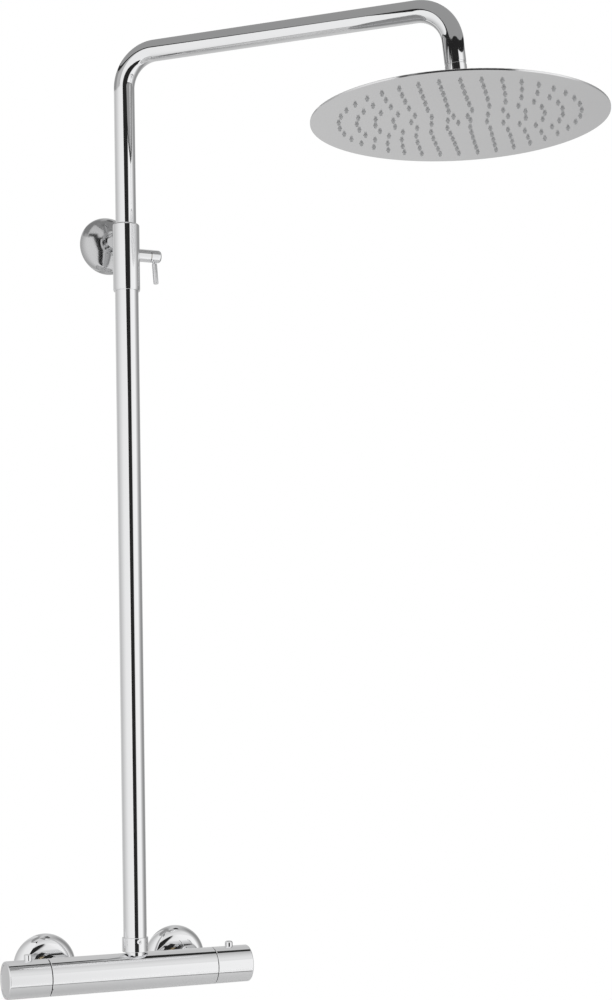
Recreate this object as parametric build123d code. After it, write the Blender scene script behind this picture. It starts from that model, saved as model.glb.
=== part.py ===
from build123d import *
import os
from math import atan2, cos, degrees, pi, radians, sin, tan

# Rainfall shower column: a thermostatic bar mixer, a telescopic riser with a lever lock, a swivelling arm and
# an overhead rain head on a ball joint.
# Frame: origin midway between the two water inlets on the wall plane, +X right, +Y into the wall, +Z up.
# Lengths are millimetres. Heights in this file are measured from the mixer's axis, which hangs UNION_RISE below
# the inlets, and every piece is set down by that much when it is written.
# An outline is a list of (radius, place along the axis), with a third number where that corner is rounded.

# Wall and mixer
INLET_SPACING = 150.0
UNION_RISE = 4.0
AXIS_OUT = 65.0
RISER_X = 7.0
MIXER_R = 20.0
MIXER_HALF_LENGTH = 136.5
FLOW_SEAM_X = -90.3
TEMPERATURE_SEAM_X = 95.5
FLOW_SEAM_GAP = 0.8
TEMPERATURE_SEAM_GAP = 0.5
FLOW_BUTTON_X = -111.4
TEMPERATURE_BUTTON_X = 115.0
BUTTON_TOP_Z = 25.7
BUTTON_R = 4.25

# Pipe threads, as plain cylinders at the major radius
G_HALF_R = 10.48
G_THREE_QUARTER_R = 13.22

# Riser, bracket and lock
LOWER_TUBE_R = 12.5
LOWER_TUBE_BORE_R = 11.3
UPPER_TUBE_R = 11.0
UPPER_TUBE_BORE_R = 10.0
COLLAR_R = 14.0
COLLAR_TOP_Z = 36.7
SLEEVE_R = 14.35
SLEEVE_BOTTOM_Z = 728.6
SLEEVE_TOP_Z = 800.2
BRACKET_Z = 791.2
LOCK_Z = 768.5
LOCK_HEADING = -1.5
LOCK_R = 6.7
LOCK_SEAM = 26.4
LOCK_END = 38.5
LEVER_OUT = 31.0
LEVER_TURN = 11.0
LEVER_LENGTH = 31.2

# Arm and head: ARM_REACH is where the arm's and the spout's axes cross, and the spout leans outwards from there.
# Heights of the spout's and the head's pieces are measured along their own axes, which meet in the ball.
ARM_HEADING = -45.0
ARM_Z = 982.0
ARM_REACH = 362.1
ARM_BEND_R = 36.5
SPOUT_BEND_R = 38.8
SPOUT_LEAN = 6.0
SPOUT_END_Z = 925.6
TUBE_FOOT_Z = 470.3
BALL_Z = 896.0
BALL_DROP = 86.85
HEAD_LEAN = 1.09
BALL_R = 9.5
HEAD_R = 150.0
HEAD_FACE_Z = 869.0
SHEET = 1.0
NOZZLE_COUNTS = (5, 8, 14, 20, 26, 32, 38)
NOZZLE_FIRST_RING_R = 12.0
NOZZLE_RING_PITCH = 18.2
NOZZLE_HEADING = -5.0

# Clearances: a running fit, a fixed joint between two pieces of one body, and from the wall to a thread's start
RUN = 0.08
FIT = 0.05
WALL_GAP = 0.5

ROSE_WALL = 1.2
ROSE_R = 34.5
ROSE_RISE = 14.0
ROSE_KNUCKLE_R = 13.5
BRACKET_ROSE_R = 31.0
BRACKET_ROSE_RISE = 18.0
BRACKET_ROSE_KNUCKLE_R = 13.0

# Ring window and handle rib that stop each handle: turn limits in degrees about +X, from the top to the front
FLOW_TURN = (0.0, 90.0)
TEMPERATURE_TURN = (-150.0, 50.0)
RIB_HALF_WIDTH = 10.0
STOP_SLACK = 1.0

X_DIR = (1, 0, 0)
Y_DIR = (0, 1, 0)
Z_DIR = (0, 0, 1)
OUT = (0, -1, 0)
DOWN = (0, 0, -1)
INLET_XS = (-INLET_SPACING / 2, INLET_SPACING / 2)
MIXER_AXIS = Axis((0, -AXIS_OUT, 0), X_DIR)
BASE = (Align.CENTER, Align.CENTER, Align.MIN)


def heading(angle):
    """Level unit direction at an angle in degrees from +X."""
    return (cos(radians(angle)), sin(radians(angle)), 0)


def on_riser(z, out=0.0, direction=(0, 0, 0)):
    """Point at height z, a distance out from the riser's axis."""
    return (RISER_X + out * direction[0], -AXIS_OUT + out * direction[1], z)


def leaning(angle, direction):
    """Unit direction that leans from straight up towards a level one, by an angle in degrees."""
    across = sin(radians(angle))
    return (across * direction[0], across * direction[1], cos(radians(angle)))


LOCK_DIR = heading(LOCK_HEADING)
LEVER_DIR = tuple(-c for c in leaning(LEVER_TURN, heading(LOCK_HEADING + 90)))
ARM_DIR = heading(ARM_HEADING)
SPOUT_UP = leaning(-SPOUT_LEAN, ARM_DIR)
HEAD_UP = leaning(-HEAD_LEAN, X_DIR)
BALL = on_riser(ARM_Z - BALL_DROP, ARM_REACH + BALL_DROP * tan(radians(SPOUT_LEAN)), ARM_DIR)


def rod(start, direction, radius, length):
    """Plain cylinder from a point along a direction."""
    return Plane(origin=start, z_dir=direction) * Cylinder(radius, length, align=BASE)


def ring(start, direction, outer, inner, length):
    """Plain ring from a point along a direction."""
    return rod(start, direction, outer, length) - rod(start, direction, inner, length)


def turned(start, direction, outline):
    """Outline turned a full circle about the line through start."""
    points = [corner[:2] for corner in outline]
    rounds = [corner[2] if len(corner) > 2 else 0 for corner in outline]
    face = make_face(FilletPolyline(*points, radius=rounds, close=True))
    return Plane(origin=start, z_dir=direction) * revolve(Plane.XZ * face, Axis.Z)


def on_mixer(outline):
    """Outline turned about the mixer's axis, with its places measured along +X."""
    return turned((0, -AXIS_OUT, 0), X_DIR, outline)


def at_riser(outline):
    """Outline turned about the riser's axis, with its places measured as heights."""
    return turned(on_riser(0), Z_DIR, outline)


def at_lock(outline):
    """Outline turned about the lock's axis, with its places measured from the riser's axis."""
    return turned(on_riser(LOCK_Z), LOCK_DIR, outline)


def above_ball(height, up):
    """Point at a height along the spout's or the head's axis."""
    return tuple(c + (height - BALL_Z) * u for c, u in zip(BALL, up))


def at_spout(outline):
    """Outline turned about the spout's axis, with its places measured as heights along it."""
    return turned(above_ball(0, SPOUT_UP), SPOUT_UP, outline)


def at_head(outline):
    """Outline turned about the head's axis, with its places measured as heights along it."""
    return turned(above_ball(0, HEAD_UP), HEAD_UP, outline)


def facing(side, outline):
    """Outline with places measured outwards from the mixer's middle, for its left (-1) or right (1) side."""
    return [(corner[0], side * corner[1], *corner[2:]) for corner in outline]


def mixer_sector(side, inner, outer, near, far, first, last):
    """Part of a ring about the mixer's axis, between two turn angles in degrees from the top to the front."""
    plane = Plane(origin=(0, -AXIS_OUT, 0), x_dir=X_DIR, z_dir=OUT)
    corners = [(side * near, inner), (side * far, inner), (side * far, outer), (side * near, outer)]
    face = plane * make_face(Polyline(*corners, close=True))
    return revolve(face, MIXER_AXIS, last - first).rotate(MIXER_AXIS, first)


def coil(start, direction, radius, wire_r, length, turns):
    """Helical spring whose wire's outside just spans the length."""
    rise = length - 2 * wire_r
    path = Helix(rise / turns, rise, radius)
    wire = sweep(Plane(origin=path @ 0, z_dir=path % 0) * Circle(wire_r), path, is_frenet=True)
    return Plane(origin=start, z_dir=direction) * Pos(0, 0, wire_r) * wire


# Wall unions: offset pipe couplings, G1/2 into the wall and G3/4 towards the mixer, with a plain neck between and a
# bridge across the wall end's bore for the flat key that they are screwed in with
UNION_WALL_DEPTH = 14.0
UNION_NECK_R = 10.0
UNION_STEP_OUT = 14.0
UNION_STEP_WALL = 0.8
UNION_END_OUT = 29.0
UNION_BORE_R = 7.5
UNION_BORE_END_OUT = 20.0
THREAD_CHAMFER = 1.0
BRIDGE = (5.0, 3.0)


def wall_unions():
    wall_end = [
        (0, -UNION_WALL_DEPTH),
        (G_HALF_R - THREAD_CHAMFER, -UNION_WALL_DEPTH),
        (G_HALF_R, THREAD_CHAMFER - UNION_WALL_DEPTH),
        (G_HALF_R, -WALL_GAP),
        (UNION_NECK_R, -WALL_GAP),
        (UNION_NECK_R, UNION_STEP_OUT + UNION_STEP_WALL),
        (0, UNION_STEP_OUT + UNION_STEP_WALL),
    ]
    thread_middle = (UNION_WALL_DEPTH - THREAD_CHAMFER + WALL_GAP) / 2
    unions = []
    for x in INLET_XS:
        union = turned((x, 0, UNION_RISE), OUT, wall_end)
        union += rod((x, -UNION_STEP_OUT, 0), OUT, G_THREE_QUARTER_R, UNION_END_OUT - UNION_STEP_OUT)
        union -= rod((x, UNION_WALL_DEPTH, UNION_RISE), OUT, UNION_BORE_R, UNION_WALL_DEPTH + UNION_BORE_END_OUT)
        union -= rod((x, -UNION_STEP_OUT - UNION_STEP_WALL, 0), OUT, UNION_BORE_R, UNION_END_OUT)
        union += Pos(x, thread_middle, UNION_RISE) * Box(2 * UNION_BORE_R + 1, *BRIDGE)
        unions.append(union)
    return Compound(unions)


# Filter washers between each union and its tail
WASHER = 2.0
TAIL_FLANGE_R = 12.8


def inlet_filter_washers():
    return Compound(
        [ring((x, -UNION_END_OUT - WASHER, 0), Y_DIR, TAIL_FLANGE_R, UNION_BORE_R, WASHER) for x in INLET_XS]
    )


# Inlet tails: flanged brass tubes screwed into the back of the mixer, which hold the union nuts
TAIL_OUT = UNION_END_OUT + WASHER
TAIL_FLANGE = 3.0
TAIL_R = 10.2
TAIL_BORE_R = 7.2
TAIL_END_OUT = 48.0


def inlet_tails():
    outline = [
        (TAIL_BORE_R, TAIL_OUT),
        (TAIL_FLANGE_R, TAIL_OUT),
        (TAIL_FLANGE_R, TAIL_OUT + TAIL_FLANGE),
        (TAIL_R, TAIL_OUT + TAIL_FLANGE),
        (TAIL_R, TAIL_END_OUT),
        (TAIL_BORE_R, TAIL_END_OUT),
    ]
    return Compound([turned((x, 0, 0), OUT, outline) for x in INLET_XS])


# Union nuts: hexagons that draw each tail onto its union
NUT_NEAR_OUT = 18.0
NUT_FAR_OUT = 40.5
NUT_FLATS_R = 16.0
NUT_CHAMFER = 1.6


def union_nuts():
    corner_r = NUT_FLATS_R / cos(pi / 6)
    length = NUT_FAR_OUT - NUT_NEAR_OUT
    shoulder = TAIL_OUT + TAIL_FLANGE + FIT
    crown = [
        (0, 0),
        (corner_r - NUT_CHAMFER, 0),
        (corner_r + FIT, NUT_CHAMFER),
        (corner_r + FIT, length - NUT_CHAMFER),
        (corner_r - NUT_CHAMFER, length),
        (0, length),
    ]
    nuts = []
    for x in INLET_XS:
        start = (x, -NUT_FAR_OUT, 0)
        hexagon = extrude(RegularPolygon(NUT_FLATS_R, 6, major_radius=False), length)
        nut = (Plane(origin=start, z_dir=Y_DIR) * hexagon) & turned(start, Y_DIR, crown)
        nut -= rod((x, -shoulder, 0), Y_DIR, G_THREE_QUARTER_R + FIT, shoulder)
        nut -= rod(start, Y_DIR, TAIL_R + FIT, length)
        nuts.append(nut)
    return Compound(nuts)


# Check valves: bought-in cartridges, closed at rest, pushed into each union as far as its bridge
VALVE_NEAR_OUT = 1.0
VALVE_FAR_OUT = 17.0
VALVE_NOSE_R = 5.0
VALVE_NOSE = 1.5


def check_valves():
    valve_r = UNION_BORE_R - 2 * FIT
    outline = [
        (0, VALVE_NEAR_OUT),
        (VALVE_NOSE_R, VALVE_NEAR_OUT),
        (VALVE_NOSE_R, VALVE_NEAR_OUT + VALVE_NOSE),
        (valve_r, VALVE_NEAR_OUT + VALVE_NOSE),
        (valve_r, VALVE_FAR_OUT - VALVE_NOSE),
        (VALVE_NOSE_R, VALVE_FAR_OUT - VALVE_NOSE),
        (VALVE_NOSE_R, VALVE_FAR_OUT),
        (0, VALVE_FAR_OUT),
    ]
    return Compound([turned((x, 0, UNION_RISE), OUT, outline) for x in INLET_XS])


def dome(x, z, rim_r, rise, knuckle_r, hole_r):
    """Thin pressed cover on the wall: a round crown that turns down to a square rim, with a hole at its middle."""
    side = rim_r - knuckle_r
    above = rise - knuckle_r
    depth = (side**2 - above**2) / (2 * above)
    turn = degrees(atan2(depth, side))
    inner = (rise - ROSE_WALL, knuckle_r - ROSE_WALL)
    edges = [Line((rim_r - ROSE_WALL, 0), (rim_r, 0)), Line((0, inner[0]), (0, rise))]
    for crown, knuckle in ((rise, knuckle_r), inner):
        edges.append(CenterArc((side, 0), knuckle, 0, turn))
        edges.append(CenterArc((0, -depth), crown + depth, turn, 90 - turn))
    shell = Plane(origin=(x, 0, z), z_dir=OUT) * revolve(Plane.XZ * make_face(edges), Axis.Z)
    return shell - rod((x, rise, z), OUT, hole_r, 3 * rise)


# Roses: pressed covers over the holes in the wall
def hot_rose():
    return dome(INLET_XS[0], UNION_RISE, ROSE_R, ROSE_RISE, ROSE_KNUCKLE_R, G_HALF_R + 2 * FIT)


def cold_rose():
    return dome(INLET_XS[1], UNION_RISE, ROSE_R, ROSE_RISE, ROSE_KNUCKLE_R, G_HALF_R + 2 * FIT)


# Mixer body: a cast bar with a chamber at each end, ducts between them, inlets behind and an outlet on top
BODY_LEFT = FLOW_SEAM_X + FLOW_SEAM_GAP / 2
BODY_RIGHT = TEMPERATURE_SEAM_X - TEMPERATURE_SEAM_GAP / 2
EDGE = 0.5
INLET_BOSS_R = 13.0
INLET_BOSS_OUT = 42.0
OUTLET_BOSS_R = 9.6
OUTLET_BOSS_TOP_Z = 21.2
NIPPLE_TOP_Z = 25.0
OUTLET_BORE_R = 7.5
FLOW_CHAMBER_R = 10.5
FLOW_CHAMBER_END_X = -54.1
THERMOSTAT_CHAMBER_R = 15.0
THERMOSTAT_CHAMBER_END_X = 33.9
DUCT_R = 3.0
DUCT_BACK = 15.0
PORT_R = 4.0
PORT_OFFSET = 5.0
INLET_BORE_R = 6.0


def mixer_body():
    body = on_mixer(
        [
            (0, BODY_LEFT),
            (MIXER_R - EDGE, BODY_LEFT),
            (MIXER_R, BODY_LEFT + EDGE),
            (MIXER_R, BODY_RIGHT - EDGE),
            (MIXER_R - EDGE, BODY_RIGHT),
            (0, BODY_RIGHT),
        ]
    )
    core_out = AXIS_OUT - MIXER_R / 2
    for x in INLET_XS:
        body += rod((x, -core_out, 0), Y_DIR, INLET_BOSS_R, core_out - INLET_BOSS_OUT)
    body += rod(on_riser(MIXER_R / 2), Z_DIR, OUTLET_BOSS_R, OUTLET_BOSS_TOP_Z - MIXER_R / 2)
    body += rod(on_riser(MIXER_R / 2), Z_DIR, G_HALF_R, NIPPLE_TOP_Z - MIXER_R / 2)
    body -= rod((BODY_LEFT, -AXIS_OUT, 0), X_DIR, FLOW_CHAMBER_R, FLOW_CHAMBER_END_X - BODY_LEFT)
    chamber = (THERMOSTAT_CHAMBER_END_X, -AXIS_OUT, 0)
    body -= rod(chamber, X_DIR, THERMOSTAT_CHAMBER_R, BODY_RIGHT - THERMOSTAT_CHAMBER_END_X)
    for x in INLET_XS:
        body -= rod((x, -TAIL_END_OUT, 0), Y_DIR, TAIL_R + FIT, TAIL_END_OUT)
        body -= rod((x, -AXIS_OUT + DUCT_BACK, 0), Y_DIR, INLET_BORE_R, DUCT_BACK)
    hot_duct = (INLET_XS[0], -AXIS_OUT + DUCT_BACK, 0)
    body -= rod(hot_duct, X_DIR, DUCT_R, THERMOSTAT_CHAMBER_END_X + 2 * DUCT_R - INLET_XS[0])
    mixed_length = THERMOSTAT_CHAMBER_END_X - FLOW_CHAMBER_END_X
    body -= rod((FLOW_CHAMBER_END_X, -AXIS_OUT, -PORT_OFFSET), X_DIR, PORT_R, mixed_length)
    body -= rod((FLOW_CHAMBER_END_X, -AXIS_OUT, PORT_OFFSET), X_DIR, PORT_R, RISER_X - FLOW_CHAMBER_END_X)
    return body - rod(on_riser(PORT_OFFSET), Z_DIR, OUTLET_BORE_R, NIPPLE_TOP_Z)


# Flow valve: a quarter-turn ceramic disc cartridge screwed into the left chamber
SPINDLE_R = 4.0
SPINDLE_END = 119.0
SCREW_R = 2.0
SCREW_TIP = 112.0
NOSE_R = 8.0
FLOW_FLANGE_END = 94.0
FLOW_NOSE_END = 100.0
DISC_R = 9.3
DISC_PORT_R = 2.6
DISC_PORT_OFFSET = 4.6
FIXED_DISC = (54.2, 57.05)
MOVING_DISC = (57.1, 61.0)
DRIVER = (61.05, 64.1)


def flow_cartridge_body():
    chamber_r = DISC_R + 0.2
    outline = [
        (chamber_r, FIXED_DISC[0]),
        (FLOW_CHAMBER_R - FIT, FIXED_DISC[0]),
        (FLOW_CHAMBER_R - FIT, -BODY_LEFT),
        (OUTLET_BOSS_R, -BODY_LEFT),
        (OUTLET_BOSS_R, FLOW_FLANGE_END),
        (NOSE_R, FLOW_FLANGE_END),
        (NOSE_R, FLOW_NOSE_END),
        (SPINDLE_R + RUN, FLOW_NOSE_END),
        (SPINDLE_R + RUN, DRIVER[1] + RUN),
        (chamber_r, DRIVER[1] + RUN),
    ]
    return on_mixer(facing(-1, outline))


def disc_with_ports(span, radius, port_dir):
    """Ceramic disc on the left of the mixer's axis, with two ports on opposite sides of its middle."""
    thickness = span[1] - span[0]
    disc = rod((-span[1], -AXIS_OUT, 0), X_DIR, radius, thickness)
    for side in (-1, 1):
        offset = side * DISC_PORT_OFFSET
        port = (-span[1], -AXIS_OUT + offset * port_dir[1], offset * port_dir[2])
        disc -= rod(port, X_DIR, DISC_PORT_R, thickness)
    return disc


def flow_fixed_disc():
    return disc_with_ports(FIXED_DISC, DISC_R + 0.1, Z_DIR)


def flow_moving_disc():
    return disc_with_ports(MOVING_DISC, DISC_R, Y_DIR)


def flow_spindle():
    outline = [
        (0, DRIVER[0]),
        (DISC_R, DRIVER[0]),
        (DISC_R, DRIVER[1]),
        (SPINDLE_R, DRIVER[1]),
        (SPINDLE_R, SPINDLE_END),
        (SCREW_R, SPINDLE_END),
        (SCREW_R, SCREW_TIP),
        (0, SCREW_TIP),
    ]
    return on_mixer(facing(-1, outline))


# Thermostat: a wax cartridge in the right chamber, whose spindle screws the regulator along
THERMOSTAT_FLANGE_R = 16.3
THERMOSTAT_FLANGE_END = 98.5
THERMOSTAT_NOSE_END = 104.3
REGULATOR_R = 9.4
REGULATOR_BORE_R = REGULATOR_R + 0.1
THERMOSTAT_WALL_X = 90.0
THERMOSTAT_FLOOR_X = 36.5
THERMOSTAT_MOUTH_R = 6.0
SEAL_XS = (52.0, 62.0)
SEAL_GROOVE_R = 13.2
SEAL_HALF_WIDTH = 1.1
SEAL_WIRE_R = 0.85
HOT_PORT_X = 42.0
COLD_PORT_X = 75.0
CARTRIDGE_PORT_R = 2.5


def thermostat_body():
    body = on_mixer(
        [
            (THERMOSTAT_MOUTH_R, THERMOSTAT_CHAMBER_END_X + RUN),
            (THERMOSTAT_CHAMBER_R - FIT, THERMOSTAT_CHAMBER_END_X + RUN),
            (THERMOSTAT_CHAMBER_R - FIT, BODY_RIGHT),
            (THERMOSTAT_FLANGE_R, BODY_RIGHT),
            (THERMOSTAT_FLANGE_R, THERMOSTAT_FLANGE_END),
            (NOSE_R, THERMOSTAT_FLANGE_END),
            (NOSE_R, THERMOSTAT_NOSE_END),
            (SPINDLE_R + RUN, THERMOSTAT_NOSE_END),
            (SPINDLE_R + RUN, THERMOSTAT_WALL_X),
            (REGULATOR_BORE_R, THERMOSTAT_WALL_X),
            (REGULATOR_BORE_R, THERMOSTAT_FLOOR_X),
            (THERMOSTAT_MOUTH_R, THERMOSTAT_FLOOR_X),
        ]
    )
    for x in SEAL_XS:
        groove_start = (x - SEAL_HALF_WIDTH, -AXIS_OUT, 0)
        body -= ring(groove_start, X_DIR, THERMOSTAT_CHAMBER_R, SEAL_GROOVE_R, 2 * SEAL_HALF_WIDTH)
    for x in (HOT_PORT_X, COLD_PORT_X):
        for direction in (Y_DIR, Z_DIR):
            across = [-THERMOSTAT_CHAMBER_R * part for part in direction]
            start = (x, -AXIS_OUT + across[1], across[2])
            body -= rod(start, direction, CARTRIDGE_PORT_R, 2 * THERMOSTAT_CHAMBER_R)
    return body


def thermostat_seals():
    centre_r = SEAL_GROOVE_R + FIT + SEAL_WIRE_R
    torus = Torus(centre_r, SEAL_WIRE_R)
    return Compound([Plane(origin=(x, -AXIS_OUT, 0), z_dir=X_DIR) * torus for x in SEAL_XS])


THREAD_R = 3.9
REGULATOR = (60.0, 80.0)
SPINDLE_THREAD_START = 66.0
THRUST_COLLAR_R = 7.0
THRUST_COLLAR = 4.0
CUP_BORE_R = 6.5
CUP_FLOOR = 4.0


def temperature_spindle():
    collar = (THERMOSTAT_WALL_X - THRUST_COLLAR, THERMOSTAT_WALL_X - RUN)
    return on_mixer(
        [
            (0, SPINDLE_THREAD_START),
            (THREAD_R, SPINDLE_THREAD_START),
            (THREAD_R, collar[0]),
            (THRUST_COLLAR_R, collar[0]),
            (THRUST_COLLAR_R, collar[1]),
            (SPINDLE_R, collar[1]),
            (SPINDLE_R, SPINDLE_END),
            (SCREW_R, SPINDLE_END),
            (SCREW_R, SCREW_TIP),
            (0, SCREW_TIP),
        ]
    )


def regulator_cup():
    floor = REGULATOR[1] - CUP_FLOOR
    return on_mixer(
        [
            (CUP_BORE_R, REGULATOR[0]),
            (REGULATOR_R, REGULATOR[0]),
            (REGULATOR_R, REGULATOR[1]),
            (THREAD_R + RUN, REGULATOR[1]),
            (THREAD_R + RUN, floor),
            (CUP_BORE_R, floor),
        ]
    )


BULB_R = 4.5
BULB = (39.0, 55.0)
BULB_ROUND = 1.5
ELEMENT_R = 6.3
ELEMENT_FLANGE = 1.0
PLUNGER_R = 3.0
PLUNGER_END = 64.0


def wax_element():
    return on_mixer(
        [
            (0, BULB[0]),
            (BULB_R, BULB[0], BULB_ROUND),
            (BULB_R, BULB[1]),
            (ELEMENT_R, BULB[1]),
            (ELEMENT_R, REGULATOR[0] - ELEMENT_FLANGE),
            (REGULATOR_R, REGULATOR[0] - ELEMENT_FLANGE),
            (REGULATOR_R, REGULATOR[0]),
            (PLUNGER_R, REGULATOR[0]),
            (PLUNGER_R, PLUNGER_END),
            (0, PLUNGER_END),
        ]
    )


SHUTTLE = (44.5, 54.0)


def mixing_shuttle():
    return on_mixer(
        [
            (BULB_R + FIT, SHUTTLE[0]),
            (REGULATOR_R, SHUTTLE[0]),
            (REGULATOR_R, SHUTTLE[1]),
            (BULB_R + FIT, SHUTTLE[1]),
        ]
    )


RETURN_SPRING_R = 7.0
RETURN_SPRING_WIRE_R = 0.55
RETURN_SPRING_TURNS = 4


def thermostat_return_spring():
    foot_x = THERMOSTAT_FLOOR_X + 2 * FIT
    length = SHUTTLE[0] - foot_x - 4 * FIT
    start = (foot_x, -AXIS_OUT, 0)
    return coil(start, X_DIR, RETURN_SPRING_R, RETURN_SPRING_WIRE_R, length, RETURN_SPRING_TURNS)


# Handles: hollow turned knobs, splined and screwed to their spindles, each with an end cap and a stop button
HANDLE_BORE_R = 17.0
HUB_R = 8.0
HUB_START = 108.0
HANDLE_WEB = 128.0
SCREW_SEAT = 130.4
CAP_SEAT = 133.5
CAP_R = 16.0
HEAD_SCREW_R = 3.6
HANDLE_ROUND = 1.4
RIB_R = 13.3
STOP_RING_R = 16.0
STOP_FLOOR_R = 13.0
STOP_RING_LENGTH = 4.8
FLOW_STOP = (FLOW_FLANGE_END + FIT, FLOW_FLANGE_END + FIT + STOP_RING_LENGTH)
TEMPERATURE_STOP = (THERMOSTAT_FLANGE_END + FIT, THERMOSTAT_FLANGE_END + FIT + STOP_RING_LENGTH)
FLOW_RIB_ANGLE = 135.0
TEMPERATURE_RIB_ANGLE = 230.0


def handle(side, mouth, button_x, stop, rib_angle):
    """Knob on one side of the mixer, with the rib that meets its stop ring."""
    outline = [
        (HANDLE_BORE_R, mouth),
        (MIXER_R - EDGE, mouth),
        (MIXER_R, mouth + EDGE),
        (MIXER_R, MIXER_HALF_LENGTH, HANDLE_ROUND),
        (CAP_R + FIT, MIXER_HALF_LENGTH),
        (CAP_R + FIT, CAP_SEAT),
        (HEAD_SCREW_R + 0.2, CAP_SEAT),
        (HEAD_SCREW_R + 0.2, SCREW_SEAT),
        (SCREW_R + FIT, SCREW_SEAT),
        (SCREW_R + FIT, SPINDLE_END),
        (SPINDLE_R + FIT, SPINDLE_END),
        (SPINDLE_R + FIT, HUB_START),
        (HUB_R, HUB_START),
        (HUB_R, HANDLE_WEB),
        (HANDLE_BORE_R, HANDLE_WEB),
    ]
    knob = on_mixer(facing(side, outline))
    knob += mixer_sector(
        side,
        RIB_R,
        HANDLE_BORE_R + EDGE,
        stop[0] + 0.3,
        stop[1] - 0.3,
        rib_angle - RIB_HALF_WIDTH,
        rib_angle + RIB_HALF_WIDTH,
    )
    return knob - rod((button_x, -AXIS_OUT, HUB_R + 2), Z_DIR, BUTTON_R + RUN, MIXER_R)


def flow_handle():
    mouth = FLOW_SEAM_GAP / 2 - FLOW_SEAM_X
    return handle(-1, mouth, FLOW_BUTTON_X, FLOW_STOP, FLOW_RIB_ANGLE)


def temperature_handle():
    mouth = TEMPERATURE_SEAM_GAP / 2 + TEMPERATURE_SEAM_X
    return handle(1, mouth, TEMPERATURE_BUTTON_X, TEMPERATURE_STOP, TEMPERATURE_RIB_ANGLE)


def stop_ring(side, span, rib_angle, turn):
    """Plastic ring on a cartridge's nose, with a window in which the handle's rib moves."""
    whole = rod((side * span[0], -AXIS_OUT, 0), (side, 0, 0), STOP_RING_R, STOP_RING_LENGTH)
    whole -= rod((side * span[0], -AXIS_OUT, 0), (side, 0, 0), NOSE_R + FIT, STOP_RING_LENGTH)
    reach = RIB_HALF_WIDTH + STOP_SLACK
    window = mixer_sector(
        side, STOP_FLOOR_R, STOP_RING_R + 1, span[0] - 1, span[1] + 1, rib_angle + turn[0] - reach,
        rib_angle + turn[1] + reach
    )
    return whole - window


def flow_stop_ring():
    return stop_ring(-1, FLOW_STOP, FLOW_RIB_ANGLE, FLOW_TURN)


def temperature_stop_ring():
    return stop_ring(1, TEMPERATURE_STOP, TEMPERATURE_RIB_ANGLE, TEMPERATURE_TURN)


def handle_screw(side):
    """Cross-head screw that holds a handle on its spindle, under the end cap."""
    outline = [
        (0, SCREW_TIP + 0.3),
        (SCREW_R - FIT, SCREW_TIP + 0.3),
        (SCREW_R - FIT, SCREW_SEAT),
        (HEAD_SCREW_R, SCREW_SEAT),
        (HEAD_SCREW_R, CAP_SEAT - 0.3, 0.6),
        (0, CAP_SEAT - 0.3),
    ]
    return on_mixer(facing(side, outline))


def flow_handle_screw():
    return handle_screw(-1)


def temperature_handle_screw():
    return handle_screw(1)


def end_cap(side):
    """Disc that closes a handle's end, sunk a little below its rim."""
    outline = [
        (0, CAP_SEAT),
        (CAP_R, CAP_SEAT),
        (CAP_R, MIXER_HALF_LENGTH - 0.3, 0.4),
        (0, MIXER_HALF_LENGTH - 0.3),
    ]
    return on_mixer(facing(side, outline))


def flow_end_cap():
    return end_cap(-1)


def temperature_end_cap():
    return end_cap(1)


# Stop buttons: press in to turn the handle past its stop, and spring back out
BUTTON_FLANGE_R = 5.4
BUTTON_FLANGE = (14.4, 15.9)
FLOW_BUTTON_ROUND = 0.8
TEMPERATURE_BUTTON_ROUND = 2.4
SPRING_FOOT_Z = HUB_R + 0.3
BUTTON_SPRING_R = 3.0
BUTTON_SPRING_WIRE_R = 0.25
BUTTON_SPRING_TURNS = 4


def button(x, crown_round):
    """Round stop button that stands out of a handle's top."""
    outline = [
        (0, BUTTON_FLANGE[0]),
        (BUTTON_FLANGE_R, BUTTON_FLANGE[0]),
        (BUTTON_FLANGE_R, BUTTON_FLANGE[1]),
        (BUTTON_R, BUTTON_FLANGE[1]),
        (BUTTON_R, BUTTON_TOP_Z, crown_round),
        (0, BUTTON_TOP_Z),
    ]
    return turned((x, -AXIS_OUT, 0), Z_DIR, outline)


def flow_button():
    return button(FLOW_BUTTON_X, FLOW_BUTTON_ROUND)


def temperature_button():
    return button(TEMPERATURE_BUTTON_X, TEMPERATURE_BUTTON_ROUND)


def button_spring(x):
    length = BUTTON_FLANGE[0] - SPRING_FOOT_Z - FIT
    start = (x, -AXIS_OUT, SPRING_FOOT_Z)
    return coil(start, Z_DIR, BUTTON_SPRING_R, BUTTON_SPRING_WIRE_R, length, BUTTON_SPRING_TURNS)


def flow_button_spring():
    return button_spring(FLOW_BUTTON_X)


def temperature_button_spring():
    return button_spring(TEMPERATURE_BUTTON_X)


# Outlet collar: screwed to the mixer's outlet, with the riser's foot held in it by a grub screw
TUBE_BOTTOM_Z = 26.5
GRUB_Z = 32.7
GRUB_R = 2.5
GRUB_FROM = 11.5
GRUB_TO = 13.6
SOCKET_R = 1.4
SOCKET_DEPTH = 1.2
OUTLET_SEAL_BORE_R = 8.5


def grub_screw(centre, direction, near, far):
    """Headless screw between two distances along a direction, with a hexagon socket in its outer end."""
    start = tuple(c + near * d for c, d in zip(centre, direction))
    end = tuple(c + (far - SOCKET_DEPTH) * d for c, d in zip(centre, direction))
    socket = Plane(origin=end, z_dir=direction) * extrude(RegularPolygon(SOCKET_R, 6), SOCKET_DEPTH)
    return rod(start, direction, GRUB_R - FIT, far - near) - socket


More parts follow.
